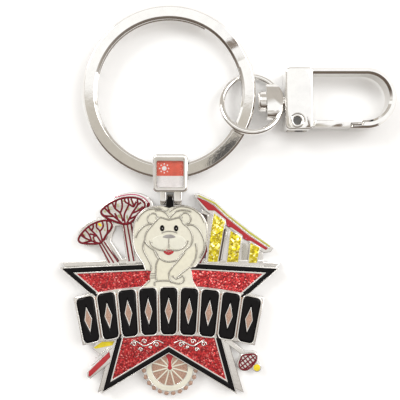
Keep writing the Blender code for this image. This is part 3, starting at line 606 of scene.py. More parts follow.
def gate_rivet():
    """A tubular rivet with a rolled lip at each end."""
    low, high = inset(BLOCK_Z, 0.04)
    lip = [
        (0.70, -0.5), (0.72, -0.2), (0.80, -0.05), (0.95, 0.0), (1.12, -0.04), (1.26, -0.12), (1.36, -0.22),
        (1.36, -0.28), (1.0, -0.28),
    ]
    profile = [(r, high + up) for r, up in lip] + [(r, low - up) for r, up in lip[::-1]]
    finish_piece(turned("gate_eyelet", profile, GATE_PIVOT, "Z"), NICKEL, "hook", ["gate_rivet"], 50)


# ---- bail ----

BAIL_X = (-8.5, -2.2)
BAIL_Y = (1.4, 8.35)
BAIL_Z = (0.0, 6.0)
TUNNEL_Y = (3.7, 7.25)
TUNNEL_Z = (1.05, 3.8)
WINDOW_X = (-7.85, -2.9)
WINDOW_Y = (2.2, 7.1)
WINDOW_LOW = 5.2
LABEL_Z = (5.25, 5.37)
LABEL_GAP = 0.06
LABEL_SPLIT = 4.35
DOME_GAP = 0.05
DOME_Z = (5.42, 5.74, 6.26)
HINGE = (0.1, 1.7)
LUGS_X = ((-7.45, -6.3), (-4.85, -3.4))
LUG_R = 1.05
LUG_END = 1.9
PIN_HOLE = 0.38


def bail_housing():
    """A bead with a tunnel for the ring, a window for the label and two lugs for the hinge pin."""
    body = prism("bail_bead", round_rectangle(BAIL_X, BAIL_Y, 0.9, 8), *BAIL_Z)
    bevel(body, 0.5, 5, 50)
    drill(body, rectangle(TUNNEL_Y, TUNNEL_Z), -10, 0, side_prism)
    drill(body, round_rectangle(WINDOW_X, WINDOW_Y, 0.45, 6), WINDOW_LOW, 7)
    for low, high in LUGS_X:
        outline = arc(HINGE, LUG_R, 90, 270, 20) + [(LUG_END, HINGE[1] - LUG_R), (LUG_END, HINGE[1] + LUG_R)]
        lug = bevel(side_prism("lug", outline, low, high), 0.12, 2, 50)
        combine(body, lug, "UNION")
    drill(body, circle(HINGE, PIN_HOLE, 24), -9, -2, side_prism)
    finish_piece(body, NICKEL, "bail", ["bail_housing"])


def bail_label():
    """A two-colour print: a red band over an off-white one, with a small sun in the red."""
    xs, (low, high) = inset(WINDOW_X, LABEL_GAP), inset(WINDOW_Y, LABEL_GAP)
    white = plate("label_white_band", [rectangle(xs, (low, LABEL_SPLIT))], *LABEL_Z, 0.01, 0)
    finish_piece(white, LABEL_WHITE, "bail", ["bail_label"])
    red = plate("label_red_band", [rectangle(xs, (LABEL_SPLIT, high))], *LABEL_Z, 0.01, 0)
    finish_piece(red, LABEL_RED, "bail")
    middle = (xs[0] + 1.35, (LABEL_SPLIT + high) / 2)
    marks = [circle(middle, 0.42, 28)]
    marks += [circle(polar(middle, 0.78, k * pi / 4), 0.13, 12) for k in range(8)]
    top = LABEL_Z[1]
    plates = [plate("mark", [outline], top - 0.02, top + 0.02, 0.005, 0) for outline in marks]
    finish_piece(joined("label_sun", plates), LABEL_WHITE, "bail")


def label_dome():
    """Clear resin over the label: short upright sides, then a rise to a nearly flat middle."""
    base = round_rectangle(inset(WINDOW_X, DOME_GAP), inset(WINDOW_Y, DOME_GAP), 0.42, 8)
    middle_x, middle_y = sum(WINDOW_X) / 2, sum(WINDOW_Y) / 2
    low, side, top = DOME_Z
    steps = 14
    levels = [(1.0, low)]
    for k in range(1, steps + 1):
        t = k / steps * pi / 2
        levels.append((cos(t) ** 0.38 * 0.99 + 0.01, side + (top - side) * sin(t)))
    rings = []
    for scale, height in levels:
        ring = [(middle_x + (x - middle_x) * scale, middle_y + (y - middle_y) * scale) for x, y in base]
        rings.append([(x, y, height) for x, y in ring])
    finish_piece(tube("label_epoxy_dome", rings, False), EPOXY, "bail", ["label_dome"], 60)


# ---- medallion plates ----

BASE_TOP = 1.3
STAR_TOP = 2.6
LION_TOP = 2.75
FRIEZE_TOP = 3.08
SIDE_TOP = 2.15
WHEEL_TOP = 1.85

STAR = [
    (-26.1, -12.6), (-10.4, -11.9), (-0.4, -11.75), (14.75, -12.65), (3.2, -22.7), (6.85, -36.05),
    (-5.8, -28.5), (-18.3, -36.0), (-14.7, -22.4),
]


def casting(name, outlines, low, high, edge=0.08, nodes=()):
    """A bare metal plate of the medallion."""
    finish_piece(plate(name, outlines, low, high, edge), CAST_NICKEL, "charm", nodes)


def inlay(name, outlines, low, high, edge, rounds, look, *nodes, sharp=35):
    """A coloured plate of the medallion, and the CAD nodes that it replaces."""
    finish_piece(plate(name, outlines, low, high, edge, rounds), look, "charm", nodes, sharp)


def strokes(name, paths, radius, height, look, *nodes, closed=False):
    """Raised lines of the medallion, and the CAD nodes that they replace."""
    finish_piece(wires(name, paths, radius, height, closed), look, "charm", nodes, 60)


def star():
    left, right, foot = -26.13, 15.2, -36.3
    base = [(min(right, max(left, x + 0.2)), max(foot, y + 0.15)) for x, y in offset(STAR, 0.75)]
    casting("star_back_plate", [base], 0.0, BASE_TOP, 0.15, ["charm_casting"])
    casting("star_block", [STAR], BASE_TOP - 0.2, STAR_TOP - 0.4)
    casting("star_outer_line", [STAR, offset(STAR, -0.16)], BASE_TOP - 0.1, STAR_TOP, 0.05)
    inner = offset(STAR, -1.0)
    casting("star_inner_line", [inner, offset(inner, -0.25)], BASE_TOP, STAR_TOP + 0.02, 0.05)
    rims, places = [offset(STAR, -0.13), offset(STAR, -1.03)], ("left", "right", "legs")
    borders, fields = [f"border_{place}" for place in places], [f"field_{place}" for place in places]
    inlay("star_border", rims, STAR_TOP - 0.8, STAR_TOP, 0.33, 6, BLACK, *borders)
    field = offset(STAR, -1.22)
    inlay("star_field", [field], STAR_TOP - 0.6, STAR_TOP - 0.12, 0.03, 2, RED_GLITTER, *fields)


# ---- frieze ----

FRIEZE_MIDDLE = -5.8
FRIEZE_TOP_Y = -16.05
FRIEZE_LOW_Y = -25.0
FRIEZE_SAG = 0.0073
FRIEZE_PITCH = (3.9, 3.53)
ORNAMENTS = 9


def fan_point(across, up):
    """A point of the fan: across counts ornaments from the middle, up runs from 0 to 1."""
    pitch = FRIEZE_PITCH[1] + (FRIEZE_PITCH[0] - FRIEZE_PITCH[1]) * up
    x = FRIEZE_MIDDLE + pitch * across
    return x, FRIEZE_LOW_Y + (FRIEZE_TOP_Y - FRIEZE_LOW_Y) * up - FRIEZE_SAG * (x - FRIEZE_MIDDLE) ** 2


def fan_band(low, high):
    """The whole fan's outline between two shares of its height."""
    half, steps = ORNAMENTS / 2, 36
    edge = [fan_point(-half + ORNAMENTS * i / steps, low) for i in range(steps + 1)]
    return edge + [fan_point(half - ORNAMENTS * i / steps, high) for i in range(steps + 1)]


def bar_outline(step, chip=0.6):
    """One tall bar of the frieze with its corners cut off."""
    left, right = step - 0.5, step + 0.5
    chip_x = chip / FRIEZE_PITCH[0]
    chip_y = chip / (FRIEZE_TOP_Y - FRIEZE_LOW_Y)
    corners = [
        (left + chip_x, -0.02), (right - chip_x, -0.02), (right, chip_y), (right, 1 - chip_y),
        (right - chip_x, 1.02), (left + chip_x, 1.02), (left, 1 - chip_y), (left, chip_y),
    ]
    return [fan_point(across, up) for across, up in corners]


def soft_corners(outline, cut):
    """The outline with each corner cut a little way along its two edges."""
    points = []
    for i, here in enumerate(outline):
        corner = Vector(here)
        for other in (outline[i - 1], outline[(i + 1) % len(outline)]):
            points.append(tuple(corner + (Vector(other) - corner).normalized() * cut))
    return points


def lozenge(step, half_wide, half_tall):
    wide, tall = half_wide / FRIEZE_PITCH[0], half_tall / (FRIEZE_TOP_Y - FRIEZE_LOW_Y)
    return [fan_point(step + a, 0.5 + b) for a, b in ((wide, 0), (0, tall), (-wide, 0), (0, -tall))]


def frieze():
    """Nine tall bars, each with a slim lozenge in its middle, on a copper ground."""
    top = FRIEZE_TOP
    casting("frieze_back", [offset(fan_band(0, 1), 0.18)], 0.6, top - 0.5, 0.12)
    inlay("frieze_ground", [fan_band(0.07, 0.93)], top - 0.7, top - 0.32, 0.05, 2, COPPER)
    for i in range(1, ORNAMENTS + 1):
        step = i - (ORNAMENTS + 1) // 2
        outline = soft_corners(offset(bar_outline(step), -0.08), 0.3)
        inner = offset(outline, -0.26)
        core = lozenge(step, 0.75, 2.5)
        casting(f"frieze_line_{i}", [outline, inner], top - 0.6, top, 0.07)
        casting(f"frieze_lozenge_{i}", [core, offset(core, -0.17)], top - 0.6, top, 0.05)
        filled, rims = [offset(core, -0.15)], [offset(inner, 0.02), offset(core, -0.05)]
        inlay(f"frieze_inlay_fill_{i}", filled, top - 0.55, top - 0.12, 0.04, 2, COPPER, f"frieze_inlay_{i}")
        inlay(f"frieze_enamel_{i}", rims, top - 1.0, top + 0.02, 0.42, 7, BLACK, f"frieze_bar_{i}")


# ---- lion ----

SIDES = ("left", "right")
FUR_LOW = 1.6
FACE_LOW = 2.2
FEATURE_LOW = 2.4
MANE = [
    (-5.84, -1.35), (-7.4, -1.1), (-9.7, -1.5), (-11.0, -2.35), (-12.0, -3.75), (-12.35, -5.4),
    (-12.4, -7.3), (-12.1, -9.2), (-11.3, -10.7), (-10.55, -11.8), (-10.15, -12.95), (-8.6, -13.2),
    (-3.4, -13.2), (-1.2, -12.45), (-0.55, -12.0), (0.65, -10.05), (1.15, -8.3), (1.3, -6.0), (1.1, -4.3),
    (0.5, -3.0), (-0.7, -1.9), (-1.95, -1.3), (-3.4, -1.02), (-4.9, -1.1),
]
MANE_FOOT = (11, 13)
FACE = [
    (-7.6, -3.3), (-6.7, -3.4), (-5.7, -3.65), (-4.65, -3.4), (-3.7, -3.3), (-3.1, -4.35), (-2.2, -5.1),
    (-1.55, -6.2), (-1.4, -7.35), (-1.8, -8.4), (-2.6, -9.1), (-3.2, -9.8), (-3.9, -10.75), (-4.55, -11.2),
    (-5.4, -11.42), (-6.2, -11.42), (-7.1, -11.05), (-7.65, -10.4), (-8.05, -9.6), (-9.2, -8.8),
    (-10.0, -8.0), (-10.2, -7.05), (-9.85, -5.9), (-8.95, -4.75),
]
SMILE = [
    (-9.2, -7.85), (-8.7, -8.6), (-7.65, -9.2), (-6.5, -9.36), (-5.8, -9.2), (-5.0, -9.32), (-4.0, -9.28),
    (-2.95, -8.7), (-2.3, -7.85),
]
EARS = ((-8.73, -3.45, 0.98), (-2.72, -3.4, 1.02))
MUZZLE = ((-7.35, 8), (-4.2, -8))
EYES = ((-7.01, -5.23), (-4.43, -5.25))
NOSE_PAD = [
    (-6.95, -6.85), (-6.3, -6.45), (-5.75, -6.38), (-5.1, -6.45), (-4.5, -6.85), (-5.1, -7.05),
    (-5.75, -7.12), (-6.35, -7.05),
]
NOSE_BRIDGE = [(-7.1, -6.1), (-6.4, -5.85), (-5.75, -5.78), (-5.0, -5.85), (-4.2, -6.1)]
LIP = [(-5.78, -7.2), (-5.77, -8.0), (-5.8, -8.9)]
DIMPLES = [[(-9.25, -7.5), (-9.1, -7.85), (-8.85, -8.0)], [(-2.25, -7.5), (-2.4, -7.85), (-2.65, -8.0)]]
MOUTH = (-5.81, -9.66)
HALF_MOUTH = [(0.0, 0.38), (0.3, 0.6), (0.55, 0.42), (0.95, 0.08), (0.6, -0.32), (0.0, -0.55)]
MOUTH_GLINT = ((-0.5, 0.05), (-0.2, 0.14), (0, 0), (0.2, 0.14), (0.5, 0.05))
CHEST = [
    (-7.9, -10.6), (-8.1, -12.4), (-8.9, -13.0), (-9.3, -14.2), (-9.25, -15.0), (-10.4, -15.9),
    (-11.1, -17.5), (-0.9, -17.5), (-1.4, -15.0), (-1.75, -12.9), (-3.3, -10.9),
]
CHEST_PANEL = [(-7.7, -11.3), (-5.2, -11.9), (-5.8, -13.4), (-5.6, -14.8), (-7.9, -14.8), (-8.05, -13.2)]
FORELEG = [
    (-2.6, -9.6), (-1.0, -8.6), (-0.75, -9.8), (-1.15, -11.3), (-2.0, -12.5), (-4.0, -14.1), (-4.5, -14.6),
    (-5.6, -14.0), (-5.6, -13.3), (-4.4, -11.7),
]
LION_STRANDS = [
    [(-5.84, -1.6), (-6.6, -2.05), (-7.5, -1.55), (-9.6, -1.75), (-10.9, -2.6), (-11.8, -3.9)],
    [(-5.75, -2.2), (-4.9, -1.6), (-3.9, -1.2), (-2.8, -1.2), (-1.3, -1.65), (0.1, -2.75), (0.85, -4.2)],
    [(-5.65, -3.3), (-6.3, -2.4), (-7.3, -1.9), (-8.3, -1.95)],
    [(-5.55, -3.25), (-4.7, -2.3), (-3.6, -1.9), (-2.3, -1.95), (-1.6, -2.2)],
    [(-8.5, -4.35), (-10.1, -4.65), (-11.25, -5.65), (-11.95, -7.0)],
    [(-10.25, -7.35), (-10.55, -8.5), (-10.35, -9.55), (-9.7, -10.75), (-9.15, -11.9), (-9.05, -12.9)],
    [(-2.5, -4.6), (-1.4, -4.6), (-0.25, -5.4), (0.5, -6.7), (0.85, -8.0), (0.65, -9.3), (-0.1, -10.7)],
    [(-0.8, -8.0), (-0.6, -9.3), (-0.9, -10.85), (-1.65, -12.15)],
    [(-8.5, -9.45), (-8.05, -10.3), (-7.75, -10.9), (-8.1, -11.9), (-8.2, -13.4), (-8.05, -14.9)],
    [(-2.85, -9.7), (-3.85, -11.0), (-5.1, -12.4), (-5.75, -13.5), (-5.65, -14.6), (-5.3, -15.3)],
    [(-1.9, -12.4), (-3.1, -13.3), (-4.0, -14.05), (-4.4, -14.6), (-4.9, -14.2), (-5.2, -14.1)],
    [(-4.1, -14.5), (-3.3, -14.1), (-2.95, -14.4), (-3.1, -15.1), (-3.9, -15.5), (-4.9, -15.3),
     (-5.45, -14.9)],
    [(-8.4, -15.9), (-8.35, -15.15), (-7.5, -14.95), (-5.9, -14.95), (-5.2, -15.25)],
    [(-9.35, -14.9), (-10.3, -15.8)],
]


def lion():
    top = LION_TOP
    mane, face, chest = smooth(MANE, True, 4), smooth(FACE, True, 4), smooth(CHEST, True, 3)
    casting("lion_rim", [mane], 0.8, top - 0.08, 0.08)
    inlay("lion_mane_fill", [offset(mane, -0.1)], FUR_LOW, top, 0.16, 4, CREAM, "lion_mane")
    casting("lion_chest_rim", [offset(chest, 0.08)], 1.0, top - 0.14, 0.06)
    inlay("lion_chest_fill", [chest], FUR_LOW, top + 0.03, 0.12, 3, CREAM, "lion_chest")
    inlay("lion_chest_panel", [smooth(CHEST_PANEL, True)], FACE_LOW, top + 0.06, 0.08, 3, WARM_CREAM)
    inlay("lion_foreleg", [smooth(FORELEG, True)], FACE_LOW, top + 0.05, 0.12, 3, WARM_CREAM)
    inlay("lion_face", [face], FACE_LOW, top + 0.05, 0.14, 4, CREAM)
    for side, (x, y, r) in zip(SIDES, EARS):
        inlay(f"lion_ear_{side}", [ellipse((x, y), (r * 0.95, r))], FACE_LOW, top + 0.06, 0.14, 4, CREAM)
    for side, (x, lean) in zip(SIDES, MUZZLE):
        lobe = ellipse((x, -7.9), (1.75, 1.4), lean)
        inlay(f"lion_muzzle_{side}", [lobe], FEATURE_LOW, top + 0.1, 0.24, 5, MILK)
    lion_lines(face)
    lion_features()


def lion_lines(face):
    """Strands of hair, the smile, the ears' rims, the mane's and face's outlines, and the cuffs."""
    top = LION_TOP
    paths = [smooth(line) for line in LION_STRANDS + [SMILE]] + [LIP] + [smooth(line) for line in DIMPLES]
    for (x, y, r), inwards, rim_start, inner_start in zip(EARS, (0.35, -0.35), (15, -75), (-70, 120)):
        paths.append(arc((x, y), r, rim_start, rim_start + 240, 20))
        paths.append(arc((x + inwards, y - 0.1), 0.42, inner_start, inner_start + 130, 8))
    strokes("lion_hair_lines", paths, 0.17, top + 0.05, LINE_METAL)
    foot_start, foot_end = MANE_FOOT
    rim = smooth(MANE[foot_end:] + MANE[:foot_start], False, 4)
    strokes("lion_outline", [rim], 0.14, top - 0.08, CAST_NICKEL)
    strokes("lion_face_line", [face], 0.17, top + 0.05, LINE_METAL, closed=True)
    cuffs = [[(-9.2, y), (-8.15, y + 0.04)] for y in (-13.65, -14.05, -14.45)]
    strokes("lion_cuffs", cuffs, 0.11, top + 0.02, LINE_METAL)


def lion_features():
    """Eyes with a glint in each, the nose and its bridge, and the mouth."""
    low, top = FEATURE_LOW, LION_TOP
    for side, (x, y) in zip(SIDES, EYES):
        eye, glint = ellipse((x, y), (0.42, 0.58)), circle((x + 0.06, y - 0.02), 0.12, 16)
        inlay(f"lion_eye_{side}", [eye], low, top + 0.17, 0.12, 4, BLACK, f"eye_{side}")
        inlay(f"lion_glint_{side}", [glint], low + 0.2, top + 0.19, 0.03, 2, GREY)
    inlay("lion_nose_fill", [smooth(NOSE_PAD, True)], low, top + 0.17, 0.08, 3, GREY, "lion_nose")
    strokes("lion_nose_line", [smooth(NOSE_BRIDGE)], 0.11, top + 0.09, LINE_METAL)
    lips = HALF_MOUTH + [(-a, b) for a, b in HALF_MOUTH[-2:0:-1]]
    lips, glint = [[(MOUTH[0] + a, MOUTH[1] + b) for a, b in path] for path in (lips, MOUTH_GLINT)]
    strokes("lion_mouth_line", [smooth(glint)], 0.045, top + 0.18, LINE_METAL)
    inlay("lion_mouth_fill", [smooth(lips, True)], low, top + 0.18, 0.12, 4, RED, "lion_mouth")


# ---- trees ----

LARGE_CANOPY = [
    (-18.45, -2.1), (-16.95, -0.72), (-14.7, 0.28), (-12.4, 0.45), (-10.85, -0.05), (-10.25, -1.0),
    (-11.1, -2.1), (-12.3, -3.6), (-13.4, -4.4), (-14.6, -4.4), (-16.1, -3.9), (-17.65, -3.2),
]
SMALL_CANOPY = [
    (-22.7, -7.35), (-22.1, -6.25), (-20.6, -4.8), (-18.6, -3.95), (-17.1, -3.9), (-16.45, -4.55),
    (-16.7, -5.5), (-17.5, -6.5), (-18.3, -7.75), (-19.3, -8.15), (-21.2, -8.15), (-22.3, -7.95),
]
LARGE_STEM = [(-14.5, -4.0), (-12.95, -4.0), (-12.0, -12.2), (-13.7, -12.2)]
SMALL_STEM = [(-19.2, -7.6), (-17.8, -7.4), (-15.1, -12.2), (-17.1, -12.2)]
LARGE_BASE = ((-13.6, -1.8), (4.95, 3.15), 12)
SMALL_BASE = ((-19.4, -5.95), (3.8, 2.45), 26)
TREE_BACK = [(-18.6, -6.5), (-16.4, -3.6), (-13.4, -3.6), (-11.0, -5.0), (-10.6, -12.4), (-16.4, -12.4)]
TREE_HOLE = [(-15.8, -5.0), (-14.75, -4.9), (-13.95, -10.8), (-14.6, -11.0), (-16.7, -7.7)]
LARGE_BRANCHES = [
    [(-14.52, -4.39), (-15.6, -3.46), (-16.84, -2.46), (-18.0, -1.3)],
    [(-16.22, -3.07), (-17.92, -2.92), (-18.46, -2.46)],
    [(-16.84, -2.46), (-17.15, -1.37), (-17.3, -0.75)],
    [(-14.36, -4.0), (-14.9, -2.46), (-15.83, -1.6), (-16.45, -0.32)],
    [(-15.83, -1.6), (-15.75, -0.75), (-15.6, 0.02)],
    [(-14.9, -2.46), (-14.52, -1.22), (-14.67, 0.25)],
    [(-13.98, -4.39), (-14.13, -2.76), (-13.28, -0.75), (-13.51, 0.45)],
    [(-13.28, -0.75), (-13.98, -0.29), (-14.05, 0.41)],
    [(-13.28, -0.75), (-12.35, -1.22), (-12.89, 0.25)],
    [(-13.67, -4.39), (-12.66, -2.46), (-11.66, -0.91), (-11.73, 0.1)],
    [(-12.66, -2.46), (-11.58, -1.99), (-10.65, -1.22)],
    [(-12.35, -1.22), (-11.89, -0.29)],
    [(-13.13, -3.54), (-11.89, -2.92), (-11.58, -2.46)],
    [(-15.29, -3.69), (-15.91, -2.46)],
    [(-11.66, -0.91), (-10.96, -0.45)],
]
SMALL_BRANCHES = [
    [(-18.85, -8.1), (-20.24, -7.63), (-21.47, -7.09), (-22.32, -6.47)],
    [(-20.24, -7.63), (-21.32, -7.87), (-22.09, -8.1)],
    [(-20.24, -7.63), (-20.7, -6.47), (-21.47, -5.55)],
    [(-18.54, -7.79), (-19.31, -6.63), (-20.24, -5.7), (-20.86, -4.93)],
    [(-19.31, -6.63), (-20.55, -6.32)],
    [(-20.24, -5.7), (-19.93, -5.08), (-20.01, -4.39)],
    [(-18.23, -7.71), (-18.69, -5.86), (-19.31, -5.08), (-19.23, -4.08)],
    [(-18.69, -5.86), (-18.07, -4.93), (-18.3, -3.85)],
    [(-17.92, -7.56), (-17.3, -6.01), (-17.3, -4.77), (-17.45, -3.92)],
    [(-17.3, -6.01), (-16.76, -5.55), (-16.53, -4.93)],
    [(-19.54, -7.87), (-19.93, -6.94), (-19.31, -6.63)],
    [(-21.47, -7.09), (-21.94, -6.17)],
]
TREE_CELLS = [
    ((-15.01, -3.07), (0.48, 0.27), -42, MOSS),
    ((-13.59, -3.23), (0.16, 0.5), 5, MOSS),
    ((-16.81, -1.6), (0.3, 0.16), -50, PALE_MOSS),
    ((-15.29, -0.99), (0.16, 0.34), 10, PALE_MOSS),
    ((-14.21, -0.14), (0.2, 0.22), 0, PALE_MOSS),
    ((-12.74, -0.37), (0.14, 0.3), 25, PALE_MOSS),
    ((-11.58, -1.6), (0.3, 0.16), 40, PALE_MOSS),
    ((-17.76, -2.15), (0.26, 0.16), -40, PALE_MOSS),
    ((-16.68, -2.76), (0.3, 0.12), -40, PALE_MOSS),
    ((-13.36, -1.68), (0.14, 0.3), -20, PALE_MOSS),
    ((-21.63, -6.4), (0.3, 0.15), -45, PALE_MOSS),
    ((-19.85, -7.33), (0.32, 0.16), -30, MOSS),
    ((-20.7, -5.62), (0.28, 0.13), -50, PALE_MOSS),
    ((-19.31, -5.86), (0.26, 0.13), -60, PALE_MOSS),
    ((-17.76, -5.55), (0.14, 0.28), 0, PALE_MOSS),
    ((-21.17, -7.48), (0.25, 0.12), 10, PALE_MOSS),
    ((-18.69, -4.62), (0.42, 0.24), -40, YELLOW),
]
LARGE_STEM_LINES = [
    [(-14.3, -4.45), (-13.2, -11.45)], [(-13.6, -4.45), (-12.35, -11.4)], [(-12.95, -4.2), (-12.3, -7.6)],
]
SMALL_STEM_LINES = [
    [(-18.85, -8.1), (-16.9, -11.75)], [(-18.4, -7.95), (-16.1, -11.75)], [(-17.9, -7.8), (-15.3, -11.6)],
]
TREE_GLOW = [(-16.0, 0.5), (-13.6, 1.0), (-11.9, 0.95), (-10.4, 0.3), (-9.5, -0.75)]


def trees():
    large, small = smooth(LARGE_CANOPY, True, 5), smooth(SMALL_CANOPY, True, 5)
    casting("large_canopy_base", [ellipse(*LARGE_BASE)], 0.0, BASE_TOP, 0.2)
    casting("small_canopy_base", [ellipse(*SMALL_BASE)], 0.0, BASE_TOP, 0.2)
    casting("tree_back_plate", [TREE_BACK, TREE_HOLE], 0.0, BASE_TOP + 0.1, 0.3)
    for name, outline, stem, grow in (("large", large, LARGE_STEM, 0.3), ("small", small, SMALL_STEM, 0.25)):
        casting(f"{name}_tree_plate", [offset(outline, grow)], 0.0, SIDE_TOP - 0.1, 0.12)
        casting(f"{name}_tree_stem", [stem], 0.0, SIDE_TOP - 0.15, 0.08)
    level = SIDE_TOP - 0.09
    strokes("large_canopy_rim", [large], 0.2, level, DARK_RED, "large_canopy", closed=True)
    strokes("small_canopy_rim", [small], 0.19, level, DARK_RED, "small_canopy", closed=True)
    strokes("large_canopy_net", [smooth(line) for line in LARGE_BRANCHES], 0.18, level, DARK_RED)
    strokes("small_canopy_net", [smooth(line) for line in SMALL_BRANCHES], 0.17, level, DARK_RED)
    strokes("large_stem_lines", LARGE_STEM_LINES, 0.15, level, DARK_RED, "large_stem")
    strokes("small_stem_lines", SMALL_STEM_LINES, 0.14, level, DARK_RED, "small_stem")
    for i, (centre, half, lean, look) in enumerate(TREE_CELLS, 1):
        cell = ellipse(centre, half, lean, 14)
        inlay(f"tree_cell_{i}", [cell], SIDE_TOP - 0.3, SIDE_TOP + 0.03, 0.04, 2, look)
    glow = wires("large_tree_glow", [smooth(TREE_GLOW)], 0.11, BASE_TOP - 0.02)
    finish_piece(glow, PINK, "charm", (), 60, "dark_red_enamel")
    patch = ellipse((-9.75, -0.95), (0.35, 0.5), -30, 20)
    inlay("large_tree_patch", [patch], 0.8, BASE_TOP + 0.12, 0.08, 3, DARK_RED, sharp=60)


# ---- building ----

ROOF = [
    (-1.05, 1.15), (-1.1, 0.7), (1.0, -2.0), (11.9, -9.9), (13.2, -9.75), (13.7, -9.0), (13.5, -8.45),
    (9.5, -5.55), (5.3, -2.2), (3.0, -0.1), (-0.2, 1.25),
]
ROOF_FILL = [
    (-0.7, 0.45), (1.55, -1.95), (2.75, -2.0), (4.8, -3.65), (4.95, -4.75), (5.35, -5.1), (5.9, -5.15),
    (7.9, -6.55), (8.1, -7.2), (8.75, -7.6), (9.5, -7.65), (12.3, -9.35), (12.7, -9.0), (9.0, -6.55),
    (4.8, -3.15), (2.6, -1.05), (0.3, 0.3),
]
ROOF_LINE = [
    (-0.45, 0.8), (2.75, -0.75), (4.95, -2.85), (9.1, -6.2), (12.95, -8.8), (13.1, -8.55), (9.25, -5.88),
    (5.02, -2.56), (2.84, -0.46), (-0.25, 0.97),
]
ROOF_GROOVE = [(-0.6, 0.6), (2.7, -0.9), (4.9, -3.0), (9.1, -6.38), (12.9, -8.95)]
ROOF_STUDS = ((5.25, -4.75), (8.6, -7.2))
ROOF_LOW = 1.2
TOWERS = [
    [(2.65, -2.5), (4.65, -4.0), (3.3, -11.55), (1.4, -11.55), (1.95, -6.4)],
    [(5.7, -5.7), (7.7, -6.95), (7.1, -11.6), (5.0, -11.6)],
    [(9.45, -8.0), (11.15, -8.9), (10.6, -11.75), (9.05, -11.75)],
]
TOWER_SIDES = [
    [(1.35, -3.0), (2.6, -2.2), (2.65, -2.5), (1.9, -7.0), (1.35, -11.7), (1.05, -11.7), (1.2, -7.0)],
    [(5.0, -5.5), (5.7, -5.6), (5.0, -11.7), (4.0, -11.7)],
    [(11.2, -8.9), (11.7, -9.4), (11.3, -11.7), (10.65, -11.8)],
]
HOUSE = [(0.3, -1.6), (1.2, -12.4), (11.9, -12.4), (11.9, -9.4)]
HOUSE_STEP = [(0.9, -11.25), (0.5, -12.4), (11.9, -12.6), (11.9, -11.2)]
# A strip of wall left of the third tower, made with darker metal as painted shade.
HOUSE_WALL_SHADE = [(7.95, -8.1), (9.1, -8.3), (8.85, -11.7), (7.85, -11.7)]
# Painted shade: a dark red sheet and two umber sheets laid where the gaps between the lion, the first tower
# and its side lie in shadow.
HOUSE_PAINTED_SHADES = (
    ("red", [(1.3, -8.0), (1.36, -9.6), (0.2, -11.7), (-0.6, -11.9), (0.7, -9.5), (1.1, -7.9)], DARK_RED),
    ("slit", [(0.1, -2.4), (1.3, -2.8), (1.2, -4.5), (0.7, -4.0)], PAINTED_SHADE_UMBER),
    ("gap", [(4.85, -5.3), (4.45, -5.5), (3.5, -11.4), (3.8, -11.4)], PAINTED_SHADE_UMBER),
)


def building():
    low, top = ROOF_LOW, SIDE_TOP
    casting("building_back_plate", [HOUSE], 0.0, BASE_TOP, 0.1)
    casting("building_step", [HOUSE_STEP], 0.4, top - 0.15, 0.08)
    casting("roof_plate", [ROOF], 0.0, top - 0.12, 0.1)
    inlay("roof_red_fill", [ROOF_FILL], low, top, 0.1, 3, RED, "roof_red")
    inlay("roof_lime_fill", [ROOF_LINE], low, top, 0.06, 3, LIME, "roof_line")
    strokes("roof_silver_line", [smooth(ROOF_GROOVE, False, 4)], 0.075, top - 0.02, CAST_NICKEL)
    # Painted shade: dark sheets laid in the shadowed gaps of the building.
    for name, outline, look in HOUSE_PAINTED_SHADES:
        inlay(f"building_{name}", [outline], low, top - 0.02, 0.05, 2, look)
    # Darker metal as painted shade on the wall beside the third tower.
    inlay("building_wall_shade", [HOUSE_WALL_SHADE], 0.8, top - 0.3, 0.06, 2, LINE_METAL)
    studs = [plate("stud", [circle(centre, 0.17, 16)], 1.9, top + 0.05, 0.06, 3) for centre in ROOF_STUDS]
    finish_piece(joined("roof_studs", studs), PINK, "charm", (), 60)
    for i, (tower, side) in enumerate(zip(TOWERS, TOWER_SIDES), 1):
        casting(f"tower_plate_{i}", [offset(tower, 0.16)], 0.4, top - 0.05, 0.06)
        casting(f"tower_side_{i}", [side], 0.4, top - 0.2, 0.06)
        inlay(f"tower_fill_{i}", [tower], 1.4, top, 0.08, 3, YELLOW_GLITTER, f"tower_{i}")


# ---- wheel, boat and lantern ----

WHEEL = (-5.65, -31.35)
SCALLOPS = 26
CABINS = 24
SPOKES = 12
WHEEL_LOW = 1.0
A_FRAME = [(-0.28, -0.25), (0.28, -0.25), (0.3, 1.2), (0.75, 2.6), (-0.75, 2.6), (-0.3, 1.2)]
HULL = [
    (-21.15, -32.3), (-21.1, -33.2), (-20.5, -33.5), (-15.2, -29.2), (-14.6, -26.1), (-19.3, -26.5),
    (-20.2, -27.9), (-17.9, -29.5),
]
SAIL = [(-19.95, -27.65), (-18.4, -26.55), (-15.95, -26.4), (-16.4, -27.2), (-19.5, -27.85)]
STRIPE = [(-20.9, -32.95), (-20.85, -32.1), (-17.0, -28.35), (-16.75, -29.4), (-17.9, -30.6), (-20.6, -33.1)]
MASTS = [[(-20.3, -31.0), (-16.4, -27.55)], [(-19.6, -29.6), (-17.0, -27.6)]]
POLE = [(4.6, -26.6), (5.3, -25.8), (8.6, -28.6), (8.1, -29.3)]
LANTERN = [
    (8.2, -29.05), (10.1, -28.85), (10.55, -29.5), (10.1, -30.6), (8.85, -31.7), (7.75, -31.6), (7.3, -30.8),
    (7.65, -29.7),
]
LANTERN_CENTRE, LANTERN_LEAN = (8.95, -30.25), 38
BALL = (10.65, -31.4)


